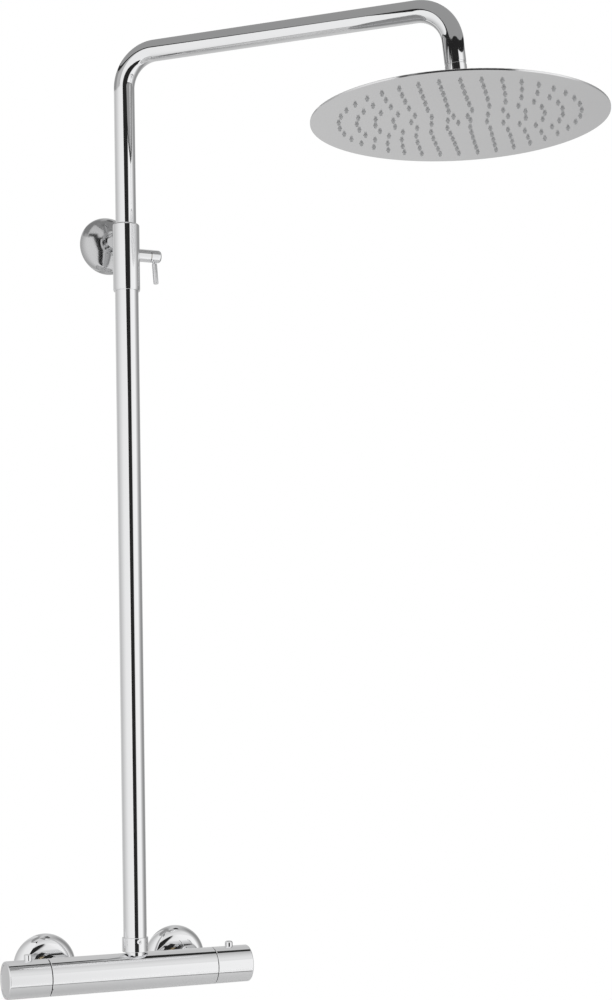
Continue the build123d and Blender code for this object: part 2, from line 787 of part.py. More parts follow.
def outlet_collar():
    collar = at_riser(
        [
            (G_HALF_R + FIT, OUTLET_BOSS_TOP_Z + FIT),
            (COLLAR_R, OUTLET_BOSS_TOP_Z + FIT, 0.6),
            (COLLAR_R, COLLAR_TOP_Z, 0.8),
            (LOWER_TUBE_R + FIT, COLLAR_TOP_Z),
            (LOWER_TUBE_R + FIT, NIPPLE_TOP_Z),
            (G_HALF_R + FIT, NIPPLE_TOP_Z),
        ]
    )
    return collar - rod(on_riser(GRUB_Z), OUT, GRUB_R, 2 * COLLAR_R)


def outlet_seal():
    return at_riser(
        [
            (OUTLET_SEAL_BORE_R, NIPPLE_TOP_Z + FIT),
            (LOWER_TUBE_R - FIT, NIPPLE_TOP_Z + FIT),
            (LOWER_TUBE_R - FIT, TUBE_BOTTOM_Z),
            (OUTLET_SEAL_BORE_R, TUBE_BOTTOM_Z),
        ]
    )


def collar_grub_screw():
    return grub_screw(on_riser(GRUB_Z), OUT, GRUB_FROM, GRUB_TO)


# Lower riser tube: stands in the collar and ends inside the clamp sleeve
LOWER_TUBE_TOP_Z = 757.0


def lower_riser_tube():
    length = LOWER_TUBE_TOP_Z - TUBE_BOTTOM_Z
    tube = ring(on_riser(TUBE_BOTTOM_Z), Z_DIR, LOWER_TUBE_R, LOWER_TUBE_BORE_R, length)
    return tube - rod(on_riser(GRUB_Z), OUT, GRUB_R, 2 * COLLAR_R)


# Clamp sleeve: joins the two tubes, and carries the bracket's post behind and the height lock at its side
SLEEVE_LIP = 1.6
SLEEVE_LIP_R = SLEEVE_R - 0.35
BUSH_R = 12.25
BUSH_BOTTOM_Z = 774.0
BUSH_TOP_Z = SLEEVE_TOP_Z - 3.2
LOCK_SPIGOT_R = 5.0


def clamp_sleeve():
    sleeve = at_riser(
        [
            (LOWER_TUBE_R + FIT, SLEEVE_BOTTOM_Z),
            (SLEEVE_LIP_R, SLEEVE_BOTTOM_Z, 0.5),
            (SLEEVE_LIP_R, SLEEVE_BOTTOM_Z + SLEEVE_LIP),
            (SLEEVE_R, SLEEVE_BOTTOM_Z + SLEEVE_LIP),
            (SLEEVE_R, SLEEVE_TOP_Z, 1.8),
            (UPPER_TUBE_R + 0.2, SLEEVE_TOP_Z),
            (UPPER_TUBE_R + 0.2, BUSH_TOP_Z),
            (BUSH_R + FIT, BUSH_TOP_Z),
            (BUSH_R + FIT, LOWER_TUBE_TOP_Z + 0.2),
            (LOWER_TUBE_R + FIT, LOWER_TUBE_TOP_Z + 0.2),
        ]
    )
    return sleeve - rod(on_riser(LOCK_Z), LOCK_DIR, LOCK_SPIGOT_R + FIT, SLEEVE_R + 1)


def guide_bush():
    start = on_riser(BUSH_BOTTOM_Z)
    return ring(start, Z_DIR, BUSH_R, UPPER_TUBE_R + RUN, BUSH_TOP_Z - BUSH_BOTTOM_Z - FIT)


# Wall bracket: a base plate screwed to the wall, a post pushed over its spigot, and a rose that covers both
PLATE_R = 20.0
PLATE = 6.0
SPIGOT_R = 5.5
SPIGOT_OUT = 28.0
POST_R = 9.0
POST_BORE_OUT = 30.0
WALL_SCREW_SPACING = 26.0
WALL_SCREW_R = 2.5
WALL_SCREW_SHANK_R = 2.2
WALL_SCREW_HEAD_R = 4.6
WALL_SCREW_DEPTH = 28.0
WALL_SCREW_TIP = 4.0
BRACKET_GRUB_OUT = 24.5
BRACKET_NECK_R = 12.5
BRACKET_NECK_FROM = 15.9
BRACKET_NECK_OUT = 20.5
WALL_SCREW_XS = (RISER_X - WALL_SCREW_SPACING / 2, RISER_X + WALL_SCREW_SPACING / 2)


def bracket_base():
    base = rod((RISER_X, -PLATE, BRACKET_Z), Y_DIR, PLATE_R, PLATE)
    base += rod((RISER_X, -SPIGOT_OUT, BRACKET_Z), Y_DIR, SPIGOT_R, SPIGOT_OUT)
    hole = [
        (0, 0),
        (WALL_SCREW_HEAD_R + FIT, 0),
        (WALL_SCREW_R + FIT, WALL_SCREW_HEAD_R - WALL_SCREW_R),
        (WALL_SCREW_R + FIT, PLATE),
        (0, PLATE),
    ]
    for x in WALL_SCREW_XS:
        base -= turned((x, -PLATE, BRACKET_Z), Y_DIR, hole)
    return base


def bracket_screws():
    outline = [
        (0, 0),
        (WALL_SCREW_HEAD_R, 0),
        (WALL_SCREW_SHANK_R, WALL_SCREW_HEAD_R - WALL_SCREW_SHANK_R),
        (WALL_SCREW_SHANK_R, PLATE + WALL_GAP),
        (WALL_SCREW_R, PLATE + WALL_GAP),
        (WALL_SCREW_R, PLATE + WALL_SCREW_DEPTH - WALL_SCREW_TIP),
        (0, PLATE + WALL_SCREW_DEPTH),
    ]
    return Compound([turned((x, -PLATE, BRACKET_Z), Y_DIR, outline) for x in WALL_SCREW_XS])


def bracket_post():
    post = rod(on_riser(BRACKET_Z), Y_DIR, POST_R, AXIS_OUT - PLATE - FIT)
    post -= rod(on_riser(SLEEVE_BOTTOM_Z), Z_DIR, SLEEVE_R + FIT, SLEEVE_TOP_Z)
    post -= rod((RISER_X, -POST_BORE_OUT, BRACKET_Z), Y_DIR, SPIGOT_R + FIT, POST_BORE_OUT)
    return post - rod((RISER_X, -BRACKET_GRUB_OUT, BRACKET_Z), DOWN, GRUB_R, 2 * POST_R)


def bracket_grub_screw():
    return grub_screw((RISER_X, -BRACKET_GRUB_OUT, BRACKET_Z), DOWN, SPIGOT_R + FIT, POST_R - 0.4)


def bracket_rose():
    hole_r = POST_R + 2 * FIT
    cover = dome(RISER_X, BRACKET_Z, BRACKET_ROSE_R, BRACKET_ROSE_RISE, BRACKET_ROSE_KNUCKLE_R, hole_r)
    neck_start = (RISER_X, -BRACKET_NECK_OUT, BRACKET_Z)
    return cover + ring(neck_start, Y_DIR, BRACKET_NECK_R, hole_r, BRACKET_NECK_OUT - BRACKET_NECK_FROM)


# Height lock: the lever turns a quick thread that draws the brake shoe away from the upper tube
SHOE_R = 4.0
SHOE_END = 18.5
SHOE_BORE_FROM = 13.8
HUB_STEP = 20.5
LOCK_SPINDLE_R = 2.5
LOCK_THREAD_R = 1.55
LOCK_SPINDLE = (15.0, 34.0)
LOCK_GAP = 0.7
LEVER_ROOT_R = 2.25
LEVER_R = 2.75


def lock_hub():
    hub = rod(on_riser(LOCK_Z), LOCK_DIR, LOCK_R, LOCK_SEAM)
    hub -= rod(on_riser(SLEEVE_BOTTOM_Z), Z_DIR, SLEEVE_R + FIT, SLEEVE_TOP_Z)
    hub += rod(on_riser(LOCK_Z, BUSH_R + 0.4, LOCK_DIR), LOCK_DIR, LOCK_SPIGOT_R, HUB_STEP - BUSH_R)
    hub -= rod(on_riser(LOCK_Z), LOCK_DIR, SHOE_R + RUN, HUB_STEP)
    return hub - rod(on_riser(LOCK_Z), LOCK_DIR, LOCK_SPINDLE_R + RUN, LOCK_END)


def brake_shoe():
    shoe = rod(on_riser(LOCK_Z), LOCK_DIR, SHOE_R, SHOE_END)
    shoe -= rod(on_riser(SLEEVE_BOTTOM_Z), Z_DIR, UPPER_TUBE_R + RUN, SLEEVE_TOP_Z)
    bore_start = on_riser(LOCK_Z, SHOE_BORE_FROM, LOCK_DIR)
    return shoe - rod(bore_start, LOCK_DIR, LOCK_THREAD_R + RUN, SHOE_END)


def lock_spindle():
    return at_lock(
        [
            (0, LOCK_SPINDLE[0]),
            (LOCK_THREAD_R, LOCK_SPINDLE[0]),
            (LOCK_THREAD_R, HUB_STEP + 0.1),
            (LOCK_SPINDLE_R, HUB_STEP + 0.1),
            (LOCK_SPINDLE_R, LOCK_SPINDLE[1]),
            (0, LOCK_SPINDLE[1]),
        ]
    )


def lock_cap():
    mouth = LOCK_SEAM + LOCK_GAP
    bore_r = LOCK_SPINDLE_R + FIT
    cap = at_lock(
        [
            (bore_r, mouth),
            (LOCK_R, mouth),
            (LOCK_R, LOCK_END, 3.2),
            (0, LOCK_END),
            (0, LOCK_SPINDLE[1] + FIT),
            (bore_r, LOCK_SPINDLE[1] + FIT),
        ]
    )
    return cap - rod(on_riser(LOCK_Z, LEVER_OUT, LOCK_DIR), LEVER_DIR, LEVER_ROOT_R + FIT, 2 * LOCK_R)


def lever_pin():
    root = LOCK_SPINDLE_R + FIT
    flare = LOCK_R + 1.2
    return turned(
        on_riser(LOCK_Z, LEVER_OUT, LOCK_DIR),
        LEVER_DIR,
        [
            (0, root),
            (LEVER_ROOT_R, root),
            (LEVER_ROOT_R, flare),
            (LEVER_R, flare + 1.5),
            (LEVER_R, LEVER_LENGTH, 0.6),
            (0, LEVER_LENGTH),
        ],
    )


# Guide piston: seals the upper tube's foot in the lower tube; the tube turns on its spigot
PISTON_R = LOWER_TUBE_BORE_R - RUN
PISTON_BOTTOM_Z = 452.0
PISTON_TOP_Z = TUBE_FOOT_Z - 0.1
PISTON_SPIGOT_TOP_Z = 484.0
PISTON_BORE_R = 6.0
PISTON_GROOVE_R = 9.6
PISTON_SEAL_ZS = (457.0, 465.0)
PISTON_SEAL_WIRE_R = 0.8


def guide_piston():
    piston = at_riser(
        [
            (PISTON_BORE_R, PISTON_BOTTOM_Z),
            (PISTON_R, PISTON_BOTTOM_Z, 0.8),
            (PISTON_R, PISTON_TOP_Z),
            (UPPER_TUBE_BORE_R - RUN, PISTON_TOP_Z),
            (UPPER_TUBE_BORE_R - RUN, PISTON_SPIGOT_TOP_Z, 0.6),
            (PISTON_BORE_R, PISTON_SPIGOT_TOP_Z),
        ]
    )
    for z in PISTON_SEAL_ZS:
        groove_start = on_riser(z - SEAL_HALF_WIDTH)
        piston -= ring(groove_start, Z_DIR, PISTON_R + 1, PISTON_GROOVE_R, 2 * SEAL_HALF_WIDTH)
    return piston


def piston_seals():
    torus = Torus(PISTON_GROOVE_R + FIT + PISTON_SEAL_WIRE_R, PISTON_SEAL_WIRE_R)
    return Compound([Pos(*on_riser(z)) * torus for z in PISTON_SEAL_ZS])


# Upper arm tube: one length of tube, bent forward at the top of the riser and down at the spout
def upper_arm_tube():
    corners = [
        on_riser(TUBE_FOOT_Z),
        on_riser(ARM_Z),
        on_riser(ARM_Z, ARM_REACH, ARM_DIR),
        above_ball(SPOUT_END_Z, SPOUT_UP),
    ]
    path = FilletPolyline(*corners, radius=[ARM_BEND_R, SPOUT_BEND_R])
    foot = Plane(origin=corners[0], z_dir=Z_DIR)
    return sweep(foot * Circle(UPPER_TUBE_R), path) - sweep(foot * Circle(UPPER_TUBE_BORE_R), path)


# Spout insert: brazed into the arm's end, with a G1/2 thread below it
INSERT_BORE_R = 7.0
INSERT_THREAD_R = G_HALF_R - 2 * FIT
INSERT_BOTTOM_Z = 914.9
INSERT_TOP_Z = 940.0
CONNECTOR_TOP_Z = 923.2


def spout_insert():
    shoulder = SPOUT_END_Z - FIT
    return at_spout(
        [
            (INSERT_BORE_R, INSERT_BOTTOM_Z),
            (INSERT_THREAD_R, INSERT_BOTTOM_Z),
            (INSERT_THREAD_R, shoulder),
            (UPPER_TUBE_BORE_R - FIT, shoulder),
            (UPPER_TUBE_BORE_R - FIT, INSERT_TOP_Z),
            (INSERT_BORE_R, INSERT_TOP_Z),
        ]
    )


# Ball connector: screwed onto the insert, with the ball on a neck below it
CONNECTOR_R = 11.0
CONNECTOR_BOTTOM_Z = 911.0
CONNECTOR_FLOOR_Z = 913.0
NECK_R = 4.6
BALL_BORE_R = 3.2


def ball_connector():
    connector = at_spout(
        [
            (0, CONNECTOR_FLOOR_Z),
            (0, BALL_Z),
            (NECK_R, BALL_Z),
            (NECK_R, CONNECTOR_BOTTOM_Z),
            (CONNECTOR_R, CONNECTOR_BOTTOM_Z, 0.8),
            (CONNECTOR_R, CONNECTOR_TOP_Z, 0.5),
            (G_HALF_R, CONNECTOR_TOP_Z),
            (G_HALF_R, CONNECTOR_FLOOR_Z),
        ]
    )
    connector += Pos(BALL) * Sphere(BALL_R)
    return connector - rod(above_ball(BALL_Z - 2 * BALL_R, SPOUT_UP), SPOUT_UP, BALL_BORE_R, 4 * BALL_R)


def connector_washer():
    start = above_ball(CONNECTOR_FLOOR_Z, SPOUT_UP)
    return ring(start, SPOUT_UP, G_HALF_R - FIT, NECK_R, INSERT_BOTTOM_Z - CONNECTOR_FLOOR_Z - FIT)


# Ball seat ring: a plastic ring between the ball and its socket, round like the ball inside and out
SEAT_INNER_R = BALL_R + RUN
SEAT_OUTER_R = 11.4
SOCKET_BALL_R = SEAT_OUTER_R + RUN
SEAT_BELOW = 6.0
SEAT_ABOVE = 5.2


def ball_seat_ring():
    start = above_ball(BALL_Z - SEAT_BELOW, HEAD_UP)
    band = rod(start, HEAD_UP, 2 * SEAT_OUTER_R, SEAT_BELOW + SEAT_ABOVE)
    return (Pos(BALL) * Sphere(SEAT_OUTER_R) & band) - Pos(BALL) * Sphere(SEAT_INNER_R)


# Rain head: two thin steel sheets welded at the rim, a silicone mat of nozzles, and the ball joint's socket
SOCKET_THREAD_R = 13.0
BOSS_BOTTOM_Z = 877.0
BOSS_FLANGE_R = 18.0
BOSS_FLANGE = 2.5
WATERWAY_R = 6.0
RETAINER_R = 16.5
RETAINER_BOTTOM_Z = 882.0
RETAINER_TOP_Z = 904.0
RETAINER_MOUTH_R = 9.6
SHELL_STEP = (138.0, 130.0)
SHELL_RISE = 2.0
SHELL_HOLE_R = 7.2
MAT_R = 127.0
NOZZLE_R = 2.2
NOZZLE_TIP_R = 1.3
NOZZLE_REACH = 2.8
NOZZLE_ROOM = 0.1


def head_boss():
    boss = at_head(
        [
            (WATERWAY_R, BOSS_BOTTOM_Z),
            (BOSS_FLANGE_R, BOSS_BOTTOM_Z),
            (BOSS_FLANGE_R, BOSS_BOTTOM_Z + BOSS_FLANGE, 0.6),
            (SOCKET_THREAD_R, BOSS_BOTTOM_Z + BOSS_FLANGE),
            (SOCKET_THREAD_R, BALL_Z),
            (WATERWAY_R, BALL_Z),
        ]
    )
    return boss - Pos(BALL) * Sphere(SOCKET_BALL_R)


def ball_retaining_nut():
    nut = at_head(
        [
            (RETAINER_MOUTH_R, RETAINER_BOTTOM_Z),
            (RETAINER_R, RETAINER_BOTTOM_Z, 0.6),
            (RETAINER_R, RETAINER_TOP_Z, 2.0),
            (RETAINER_MOUTH_R, RETAINER_TOP_Z),
        ]
    )
    thread_start = above_ball(RETAINER_BOTTOM_Z, HEAD_UP)
    nut -= rod(thread_start, HEAD_UP, SOCKET_THREAD_R + FIT, BALL_Z - RETAINER_BOTTOM_Z + FIT)
    return nut - Pos(BALL) * Sphere(SOCKET_BALL_R)


def head_top_shell():
    seam_z = HEAD_FACE_Z + SHEET
    crown_z = BOSS_BOTTOM_Z
    return at_head(
        [
            (HEAD_R, seam_z),
            (HEAD_R, seam_z + SHEET, 0.5),
            (SHELL_STEP[0], seam_z + SHEET, 6.0),
            (SHELL_STEP[1], seam_z + SHEET + SHELL_RISE, 6.0),
            (SHELL_HOLE_R, crown_z),
            (SHELL_HOLE_R, crown_z - SHEET),
            (SHELL_STEP[1], seam_z + SHELL_RISE, 6.0),
            (SHELL_STEP[0], seam_z, 6.0),
        ]
    )


def head_plane(height):
    """Plane square to the head's axis, with its X as near the frame's as the head's lean lets it be."""
    return Plane(origin=above_ball(height, HEAD_UP), x_dir=(HEAD_UP[2], 0, -HEAD_UP[0]), z_dir=HEAD_UP)


def nozzle_places():
    """Centres of the nozzles about the head's axis, ring by ring, all rings starting at one heading."""
    places = []
    for index, count in enumerate(NOZZLE_COUNTS):
        radius = NOZZLE_FIRST_RING_R + index * NOZZLE_RING_PITCH
        for step in range(count):
            direction = heading(NOZZLE_HEADING + 360 * step / count)
            places.append((radius * direction[0], radius * direction[1]))
    return places


def head_face_plate():
    hole = Circle(NOZZLE_R + NOZZLE_ROOM)
    face = Circle(HEAD_R) - [Pos(x, y) * hole for x, y in nozzle_places()]
    return head_plane(HEAD_FACE_Z) * extrude(face, SHEET)


def nozzle_mat():
    length = NOZZLE_REACH + SHEET
    nozzle = Pos(0, 0, -length) * Cone(NOZZLE_TIP_R, NOZZLE_R, length, align=BASE)
    mat = Cylinder(MAT_R, SHEET, align=BASE) + [Pos(x, y, 0) * nozzle for x, y in nozzle_places()]
    return head_plane(HEAD_FACE_Z + SHEET) * mat


NODES = [
    mixer_body, inlet_tails, wall_unions, union_nuts, hot_rose, cold_rose, inlet_filter_washers, check_valves,
    flow_cartridge_body, flow_fixed_disc, flow_moving_disc, flow_spindle, flow_stop_ring,
    thermostat_body, thermostat_seals, temperature_spindle, regulator_cup, wax_element, mixing_shuttle,
    thermostat_return_spring, temperature_stop_ring,
    flow_handle, flow_handle_screw, flow_end_cap, flow_button, flow_button_spring,
    temperature_handle, temperature_handle_screw, temperature_end_cap, temperature_button,
    temperature_button_spring,
    outlet_collar, outlet_seal, collar_grub_screw, lower_riser_tube, clamp_sleeve, guide_bush,
    bracket_base, bracket_screws, bracket_post, bracket_grub_screw, bracket_rose,
    lock_hub, lock_spindle, lock_cap, lever_pin, brake_shoe,
    guide_piston, piston_seals, upper_arm_tube, spout_insert, ball_connector, connector_washer,
    ball_seat_ring, ball_retaining_nut, head_boss, head_top_shell, head_face_plate, nozzle_mat,
]

os.makedirs("parts", exist_ok=True)
for make in NODES:
    export_step(Pos(0, 0, -UNION_RISE) * make(), f"parts/{make.__name__}.step")
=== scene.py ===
import bpy
import numpy as np
from mathutils import Matrix


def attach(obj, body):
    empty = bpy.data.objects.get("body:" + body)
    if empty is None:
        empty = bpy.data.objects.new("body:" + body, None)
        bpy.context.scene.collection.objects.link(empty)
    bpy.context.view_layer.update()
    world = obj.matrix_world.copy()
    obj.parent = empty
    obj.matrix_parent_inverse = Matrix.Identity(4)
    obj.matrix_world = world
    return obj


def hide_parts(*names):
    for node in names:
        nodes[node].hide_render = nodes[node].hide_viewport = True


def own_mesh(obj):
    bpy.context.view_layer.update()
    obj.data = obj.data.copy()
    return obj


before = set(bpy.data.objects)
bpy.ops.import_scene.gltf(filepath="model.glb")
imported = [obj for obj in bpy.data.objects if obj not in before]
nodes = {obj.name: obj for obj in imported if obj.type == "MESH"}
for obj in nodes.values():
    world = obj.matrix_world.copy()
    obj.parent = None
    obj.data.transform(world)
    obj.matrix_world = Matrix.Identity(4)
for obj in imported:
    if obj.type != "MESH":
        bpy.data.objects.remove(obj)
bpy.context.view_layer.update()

# Camera: in front of the column and to its left, at about hip height, with the lens shifted up so that the
# riser stays upright in the picture.
MM = 0.001
CAMERA_PLACE = (-652.4, -1974.1, 283.2)
CAMERA_YAW = np.radians(24.35)
CAMERA_ROLL = np.radians(-0.74)
CAMERA_DIP = 0.0008
LENS = 67.53
LENS_SHIFT = 0.2025

ahead = np.array((np.sin(CAMERA_YAW), np.cos(CAMERA_YAW), -CAMERA_DIP))
level_right = np.array((np.cos(CAMERA_YAW), -np.sin(CAMERA_YAW), 0.0))
level_up = np.cross(level_right, ahead)
right = np.cos(CAMERA_ROLL) * level_right + np.sin(CAMERA_ROLL) * level_up
up = np.cos(CAMERA_ROLL) * level_up - np.sin(CAMERA_ROLL) * level_right
stance = np.eye(4)
stance[:3, :3] = np.column_stack((right, up, -ahead))
stance[:3, 3] = np.array(CAMERA_PLACE) * MM

camera_data = bpy.data.cameras.new("camera")
camera_data.lens = LENS
camera_data.shift_y = LENS_SHIFT
camera = bpy.data.objects.new("camera", camera_data)
camera.matrix_world = Matrix(stance.tolist())
bpy.context.scene.collection.objects.link(camera)
bpy.context.scene.camera = camera
bpy.context.scene.view_settings.view_transform = "Standard"


# Studio: a room with a black flag about the camera and a tall white softbox to its right, which give polished
# chrome its stripes. Matt surfaces are lit by one plain level, and the camera itself sees white.
FLAG_TURN = np.degrees(CAMERA_YAW) + 90.0
ROOM_LEVEL = (0.7, 0.7, 0.7, 1.0)
WHITE = (1.0, 1.0, 1.0, 1.0)
FLAG_TOP = (26.0, 28.0)
OVERHEAD = (40.0, 64.0)
BEAM = ((64.0, 66.0), (75.0, 77.0))


def wire(tree, kind, settings=(), **inputs):
    """Adds a node; an input given as a socket is linked, and any other is set as a constant."""
    made = tree.nodes.new(kind)
    for key, value in settings:
        setattr(made, key, value)
    for key, value in inputs.items():
        place = int(key[1:]) if key[0] == "i" and key[1:].isdigit() else key.replace("_", " ")
        if isinstance(value, bpy.types.NodeSocket):
            tree.links.new(value, made.inputs[place])
        else:
            made.inputs[place].default_value = value
    return made


def grey_scale(tree, place, stops):
    """Colour ramp over a number from 0 to 1 that gives a grey for each (place, grey) stop."""
    ramp = wire(tree, "ShaderNodeValToRGB", i0=place)
    ramp.color_ramp.elements.remove(ramp.color_ramp.elements[0])
    for index, (where, grey) in enumerate(stops):
        if index == 0:
            element = ramp.color_ramp.elements[0]
            element.position = where
        else:
            element = ramp.color_ramp.elements.new(where)
        element.color = (grey, grey, grey, 1.0)
    return ramp.outputs["Color"]


def mixed(tree, share, first, second, way="MIX"):
    """Colour that goes from the first to the second as share goes from 0 to 1."""
    settings = [("data_type", "RGBA"), ("blend_type", way)]
    return wire(tree, "ShaderNodeMix", settings, i0=share, i6=first, i7=second).outputs[2]


def share_of_turn(tree, parts):
    """Bearing of a direction (x, y) as a share of one whole turn: 0.5 + atan2(y, x) / 2 pi."""
    bearing = wire(tree, "ShaderNodeMath", [("operation", "ARCTAN2")], i0=parts["Y"], i1=parts["X"])
    return wire(
        tree, "ShaderNodeMath", [("operation", "MULTIPLY_ADD")], i0=bearing.outputs[0], i1=0.5 / np.pi, i2=0.5
    ).outputs[0]


def round_the_room(tree, turn, stops):
    """Greys round the room, each stop being (degrees to the right of the camera, grey)."""
    return grey_scale(tree, turn, [((angle + 180.0) / 360.0, grey) for angle, grey in stops])


room = bpy.data.worlds.new("studio")
bpy.context.scene.world = room
room.use_nodes = True
tree = room.node_tree
tree.nodes.clear()
gaze = wire(tree, "ShaderNodeTexCoord").outputs["Generated"]
turned_gaze = wire(
    tree, "ShaderNodeMapping", i0=gaze, Rotation=(0.0, 0.0, np.radians(FLAG_TURN))
).outputs[0]
parts = wire(tree, "ShaderNodeSeparateXYZ", i0=turned_gaze).outputs
turn = share_of_turn(tree, parts)
height = wire(tree, "ShaderNodeMath", [("operation", "ARCSINE")], i0=parts["Z"]).outputs[0]
rise = wire(
    tree, "ShaderNodeMath", [("operation", "MULTIPLY_ADD")], i0=height, i1=1.0 / np.pi, i2=0.5
).outputs[0]

walls = round_the_room(
    tree,
    turn,
    [
        (-180, 0.62), (-155, 0.46), (-145, 0.30), (-37, 0.30), (-35, 0.02), (36, 0.02), (39, 0.84),
        (46, 0.96), (80, 1.0), (98, 0.58), (115, 0.34), (137, 0.27), (160, 0.46), (180, 0.62),
    ],
)
over_flag = round_the_room(
    tree,
    turn,
    [
        (-180, 0.62), (-155, 0.46), (-145, 0.30), (-45, 0.30), (-30, 0.78), (40, 0.82), (80, 0.86),
        (98, 0.58), (115, 0.34), (137, 0.27), (160, 0.46), (180, 0.62),
    ],
)
overhead = round_the_room(
    tree,
    turn,
    [
        (-180, 0.62), (-160, 0.36), (-150, 0.30), (-45, 0.30), (-30, 0.68), (55, 0.64), (86, 0.55),
        (108, 0.46), (147, 0.60), (180, 0.62),
    ],
)
beam = round_the_room(
    tree,
    turn,
    [
        (-180, 0.62), (-160, 0.36), (-150, 0.30), (-45, 0.30), (-30, 0.68), (55, 0.64), (86, 0.55),
        (102, 0.48), (107, 0.02), (149, 0.02), (154, 0.62), (180, 0.62),
    ],
)


def at_rise(angle):
    """Place on a ramp for an angle in degrees above the horizon."""
    return (angle + 90.0) / 180.0


room_light = walls
for (first, last), next_grey in (
    (FLAG_TOP, over_flag), (OVERHEAD, overhead), (BEAM[0], beam), (BEAM[1], overhead)
):
    past = grey_scale(tree, rise, [(at_rise(first), 0.0), (at_rise(last), 1.0)])
    room_light = mixed(tree, past, room_light, next_grey)
paths = wire(tree, "ShaderNodeLightPath").outputs
mirrored = mixed(tree, paths["Is Glossy Ray"], ROOM_LEVEL, room_light)
shown = mixed(tree, paths["Is Camera Ray"], mirrored, WHITE)
background = wire(tree, "ShaderNodeBackground", Color=shown, Strength=1.0)
wire(tree, "ShaderNodeOutputWorld", Surface=background.outputs[0])

# Lamps: two large soft panels, to the left and right of the camera, that bring matt surfaces up to a plain
# level. Metal mirrors the room and not the panels.
LAMPS = (
    ("left_panel", (-1800.0, -1500.0, 1900.0), 1.6, 26.0),
    ("right_panel", (1700.0, -1300.0, 1500.0), 1.4, 18.0),
)
LAMP_AIM = np.array((130.0, -200.0, 450.0))
for name, place, width, power in LAMPS:
    lamp_data = bpy.data.lights.new(name, "AREA")
    lamp_data.size = width
    lamp_data.energy = power
    lamp = bpy.data.objects.new(name, lamp_data)
    back = np.array(place) - LAMP_AIM
    back /= np.linalg.norm(back)
    across = np.cross((0.0, 0.0, 1.0), back)
    across /= np.linalg.norm(across)
    pose = np.eye(4)
    pose[:3, :3] = np.column_stack((across, np.cross(back, across), back))
    pose[:3, 3] = np.array(place) * MM
    lamp.matrix_world = Matrix(pose.tolist())
    lamp.visible_glossy = False
    bpy.context.scene.collection.objects.link(lamp)

# Floor: a round pale plinth below the column, on which its shadow falls. Its cloth is greyer than the room,
# with one dark band half a metre from the riser. The band is painted shade that stands in for the dark gap at
# the screen's foot, and the chrome mirrors it.
RISER_X = 7.0
AXIS_OUT = 65.0
FLOOR_Z = -400.0
FLOOR_R = 720.0
FLOOR_MIDDLE = (110.0, -190.0)
STAGE_STEPS = 96
# The dark stop from 0.50 to 0.53 m is painted shade for the gap at the screen's foot; the other stops are the
# cloth's greys
FLOOR_GREYS_AND_PAINTED_SHADE = [(0.0, 0.53), (0.40, 0.63), (0.49, 0.59), (0.50, 0.12), (0.53, 0.12), (0.56, 0.9)]
FLOOR_FLECK = (0.6, 0.6, 0.6, 1.0)
FLOOR_SEEN = (0.95, 0.95, 0.95, 1.0)
FLOOR_GLOW = 0.35


def add_mesh(name, points, faces):
    """Object at the origin from points in millimetres and faces as lists of point numbers."""
    mesh = bpy.data.meshes.new(name)
    mesh.from_pydata((np.asarray(points) * MM).tolist(), [], faces)
    made = bpy.data.objects.new(name, mesh)
    bpy.context.scene.collection.objects.link(made)
    return made


round_steps = np.arange(STAGE_STEPS) * 2.0 * np.pi / STAGE_STEPS
rim = np.column_stack(
    (
        FLOOR_MIDDLE[0] + FLOOR_R * np.cos(round_steps),
        FLOOR_MIDDLE[1] + FLOOR_R * np.sin(round_steps),
        np.full(STAGE_STEPS, FLOOR_Z),
    )
)
floor = add_mesh("floor", rim, [list(range(STAGE_STEPS))])


def new_finish(name):
    """Empty material with its shader: (material, tree, shader, object coordinates)."""
    material = bpy.data.materials.new(name)
    material.use_nodes = True
    finish_tree = material.node_tree
    shader = finish_tree.nodes["Principled BSDF"]
    coordinates = finish_tree.nodes.new("ShaderNodeTexCoord").outputs["Object"]
    return material, finish_tree, shader, coordinates


def between(tree, share, low, high):
    """Number that goes from low to high as share goes from 0 to 1."""
    return wire(tree, "ShaderNodeMapRange", Value=share, To_Min=low, To_Max=high).outputs[0]


def mottled(tree, place, scale, detail, low, high):
    """Colour that drifts between two colours over a soft noise."""
    cloud = wire(tree, "ShaderNodeTexNoise", Vector=place, Scale=scale, Detail=detail)
    return mixed(tree, cloud.outputs[0], (*low, 1.0), (*high, 1.0))


plinth, tree, shader, place = new_finish("plinth")
seen = wire(tree, "ShaderNodeLightPath").outputs["Is Camera Ray"]
from_riser = wire(
    tree, "ShaderNodeMapping", Vector=place, Location=(-RISER_X * MM, AXIS_OUT * MM, 0.0),
    Scale=(1.0, 1.0, 0.0),
).outputs[0]
floor_r = wire(tree, "ShaderNodeVectorMath", [("operation", "LENGTH")], i0=from_riser).outputs["Value"]
cloth = grey_scale(tree, floor_r, FLOOR_GREYS_AND_PAINTED_SHADE)
grain = wire(tree, "ShaderNodeTexNoise", Vector=place, Scale=40.0, Detail=3.0)
shade = mixed(tree, between(tree, grain.outputs[0], 0.0, 0.1), cloth, FLOOR_FLECK, way="MULTIPLY")
floor_colour = mixed(tree, seen, shade, FLOOR_SEEN)
tree.links.new(floor_colour, shader.inputs["Base Color"])
shader.inputs["Roughness"].default_value = 0.9
shader.inputs["Specular IOR Level"].default_value = 0.1
shader.inputs["Emission Color"].default_value = WHITE
tree.links.new(between(tree, seen, 0.0, FLOOR_GLOW), shader.inputs["Emission Strength"])
floor.data.materials.append(plinth)

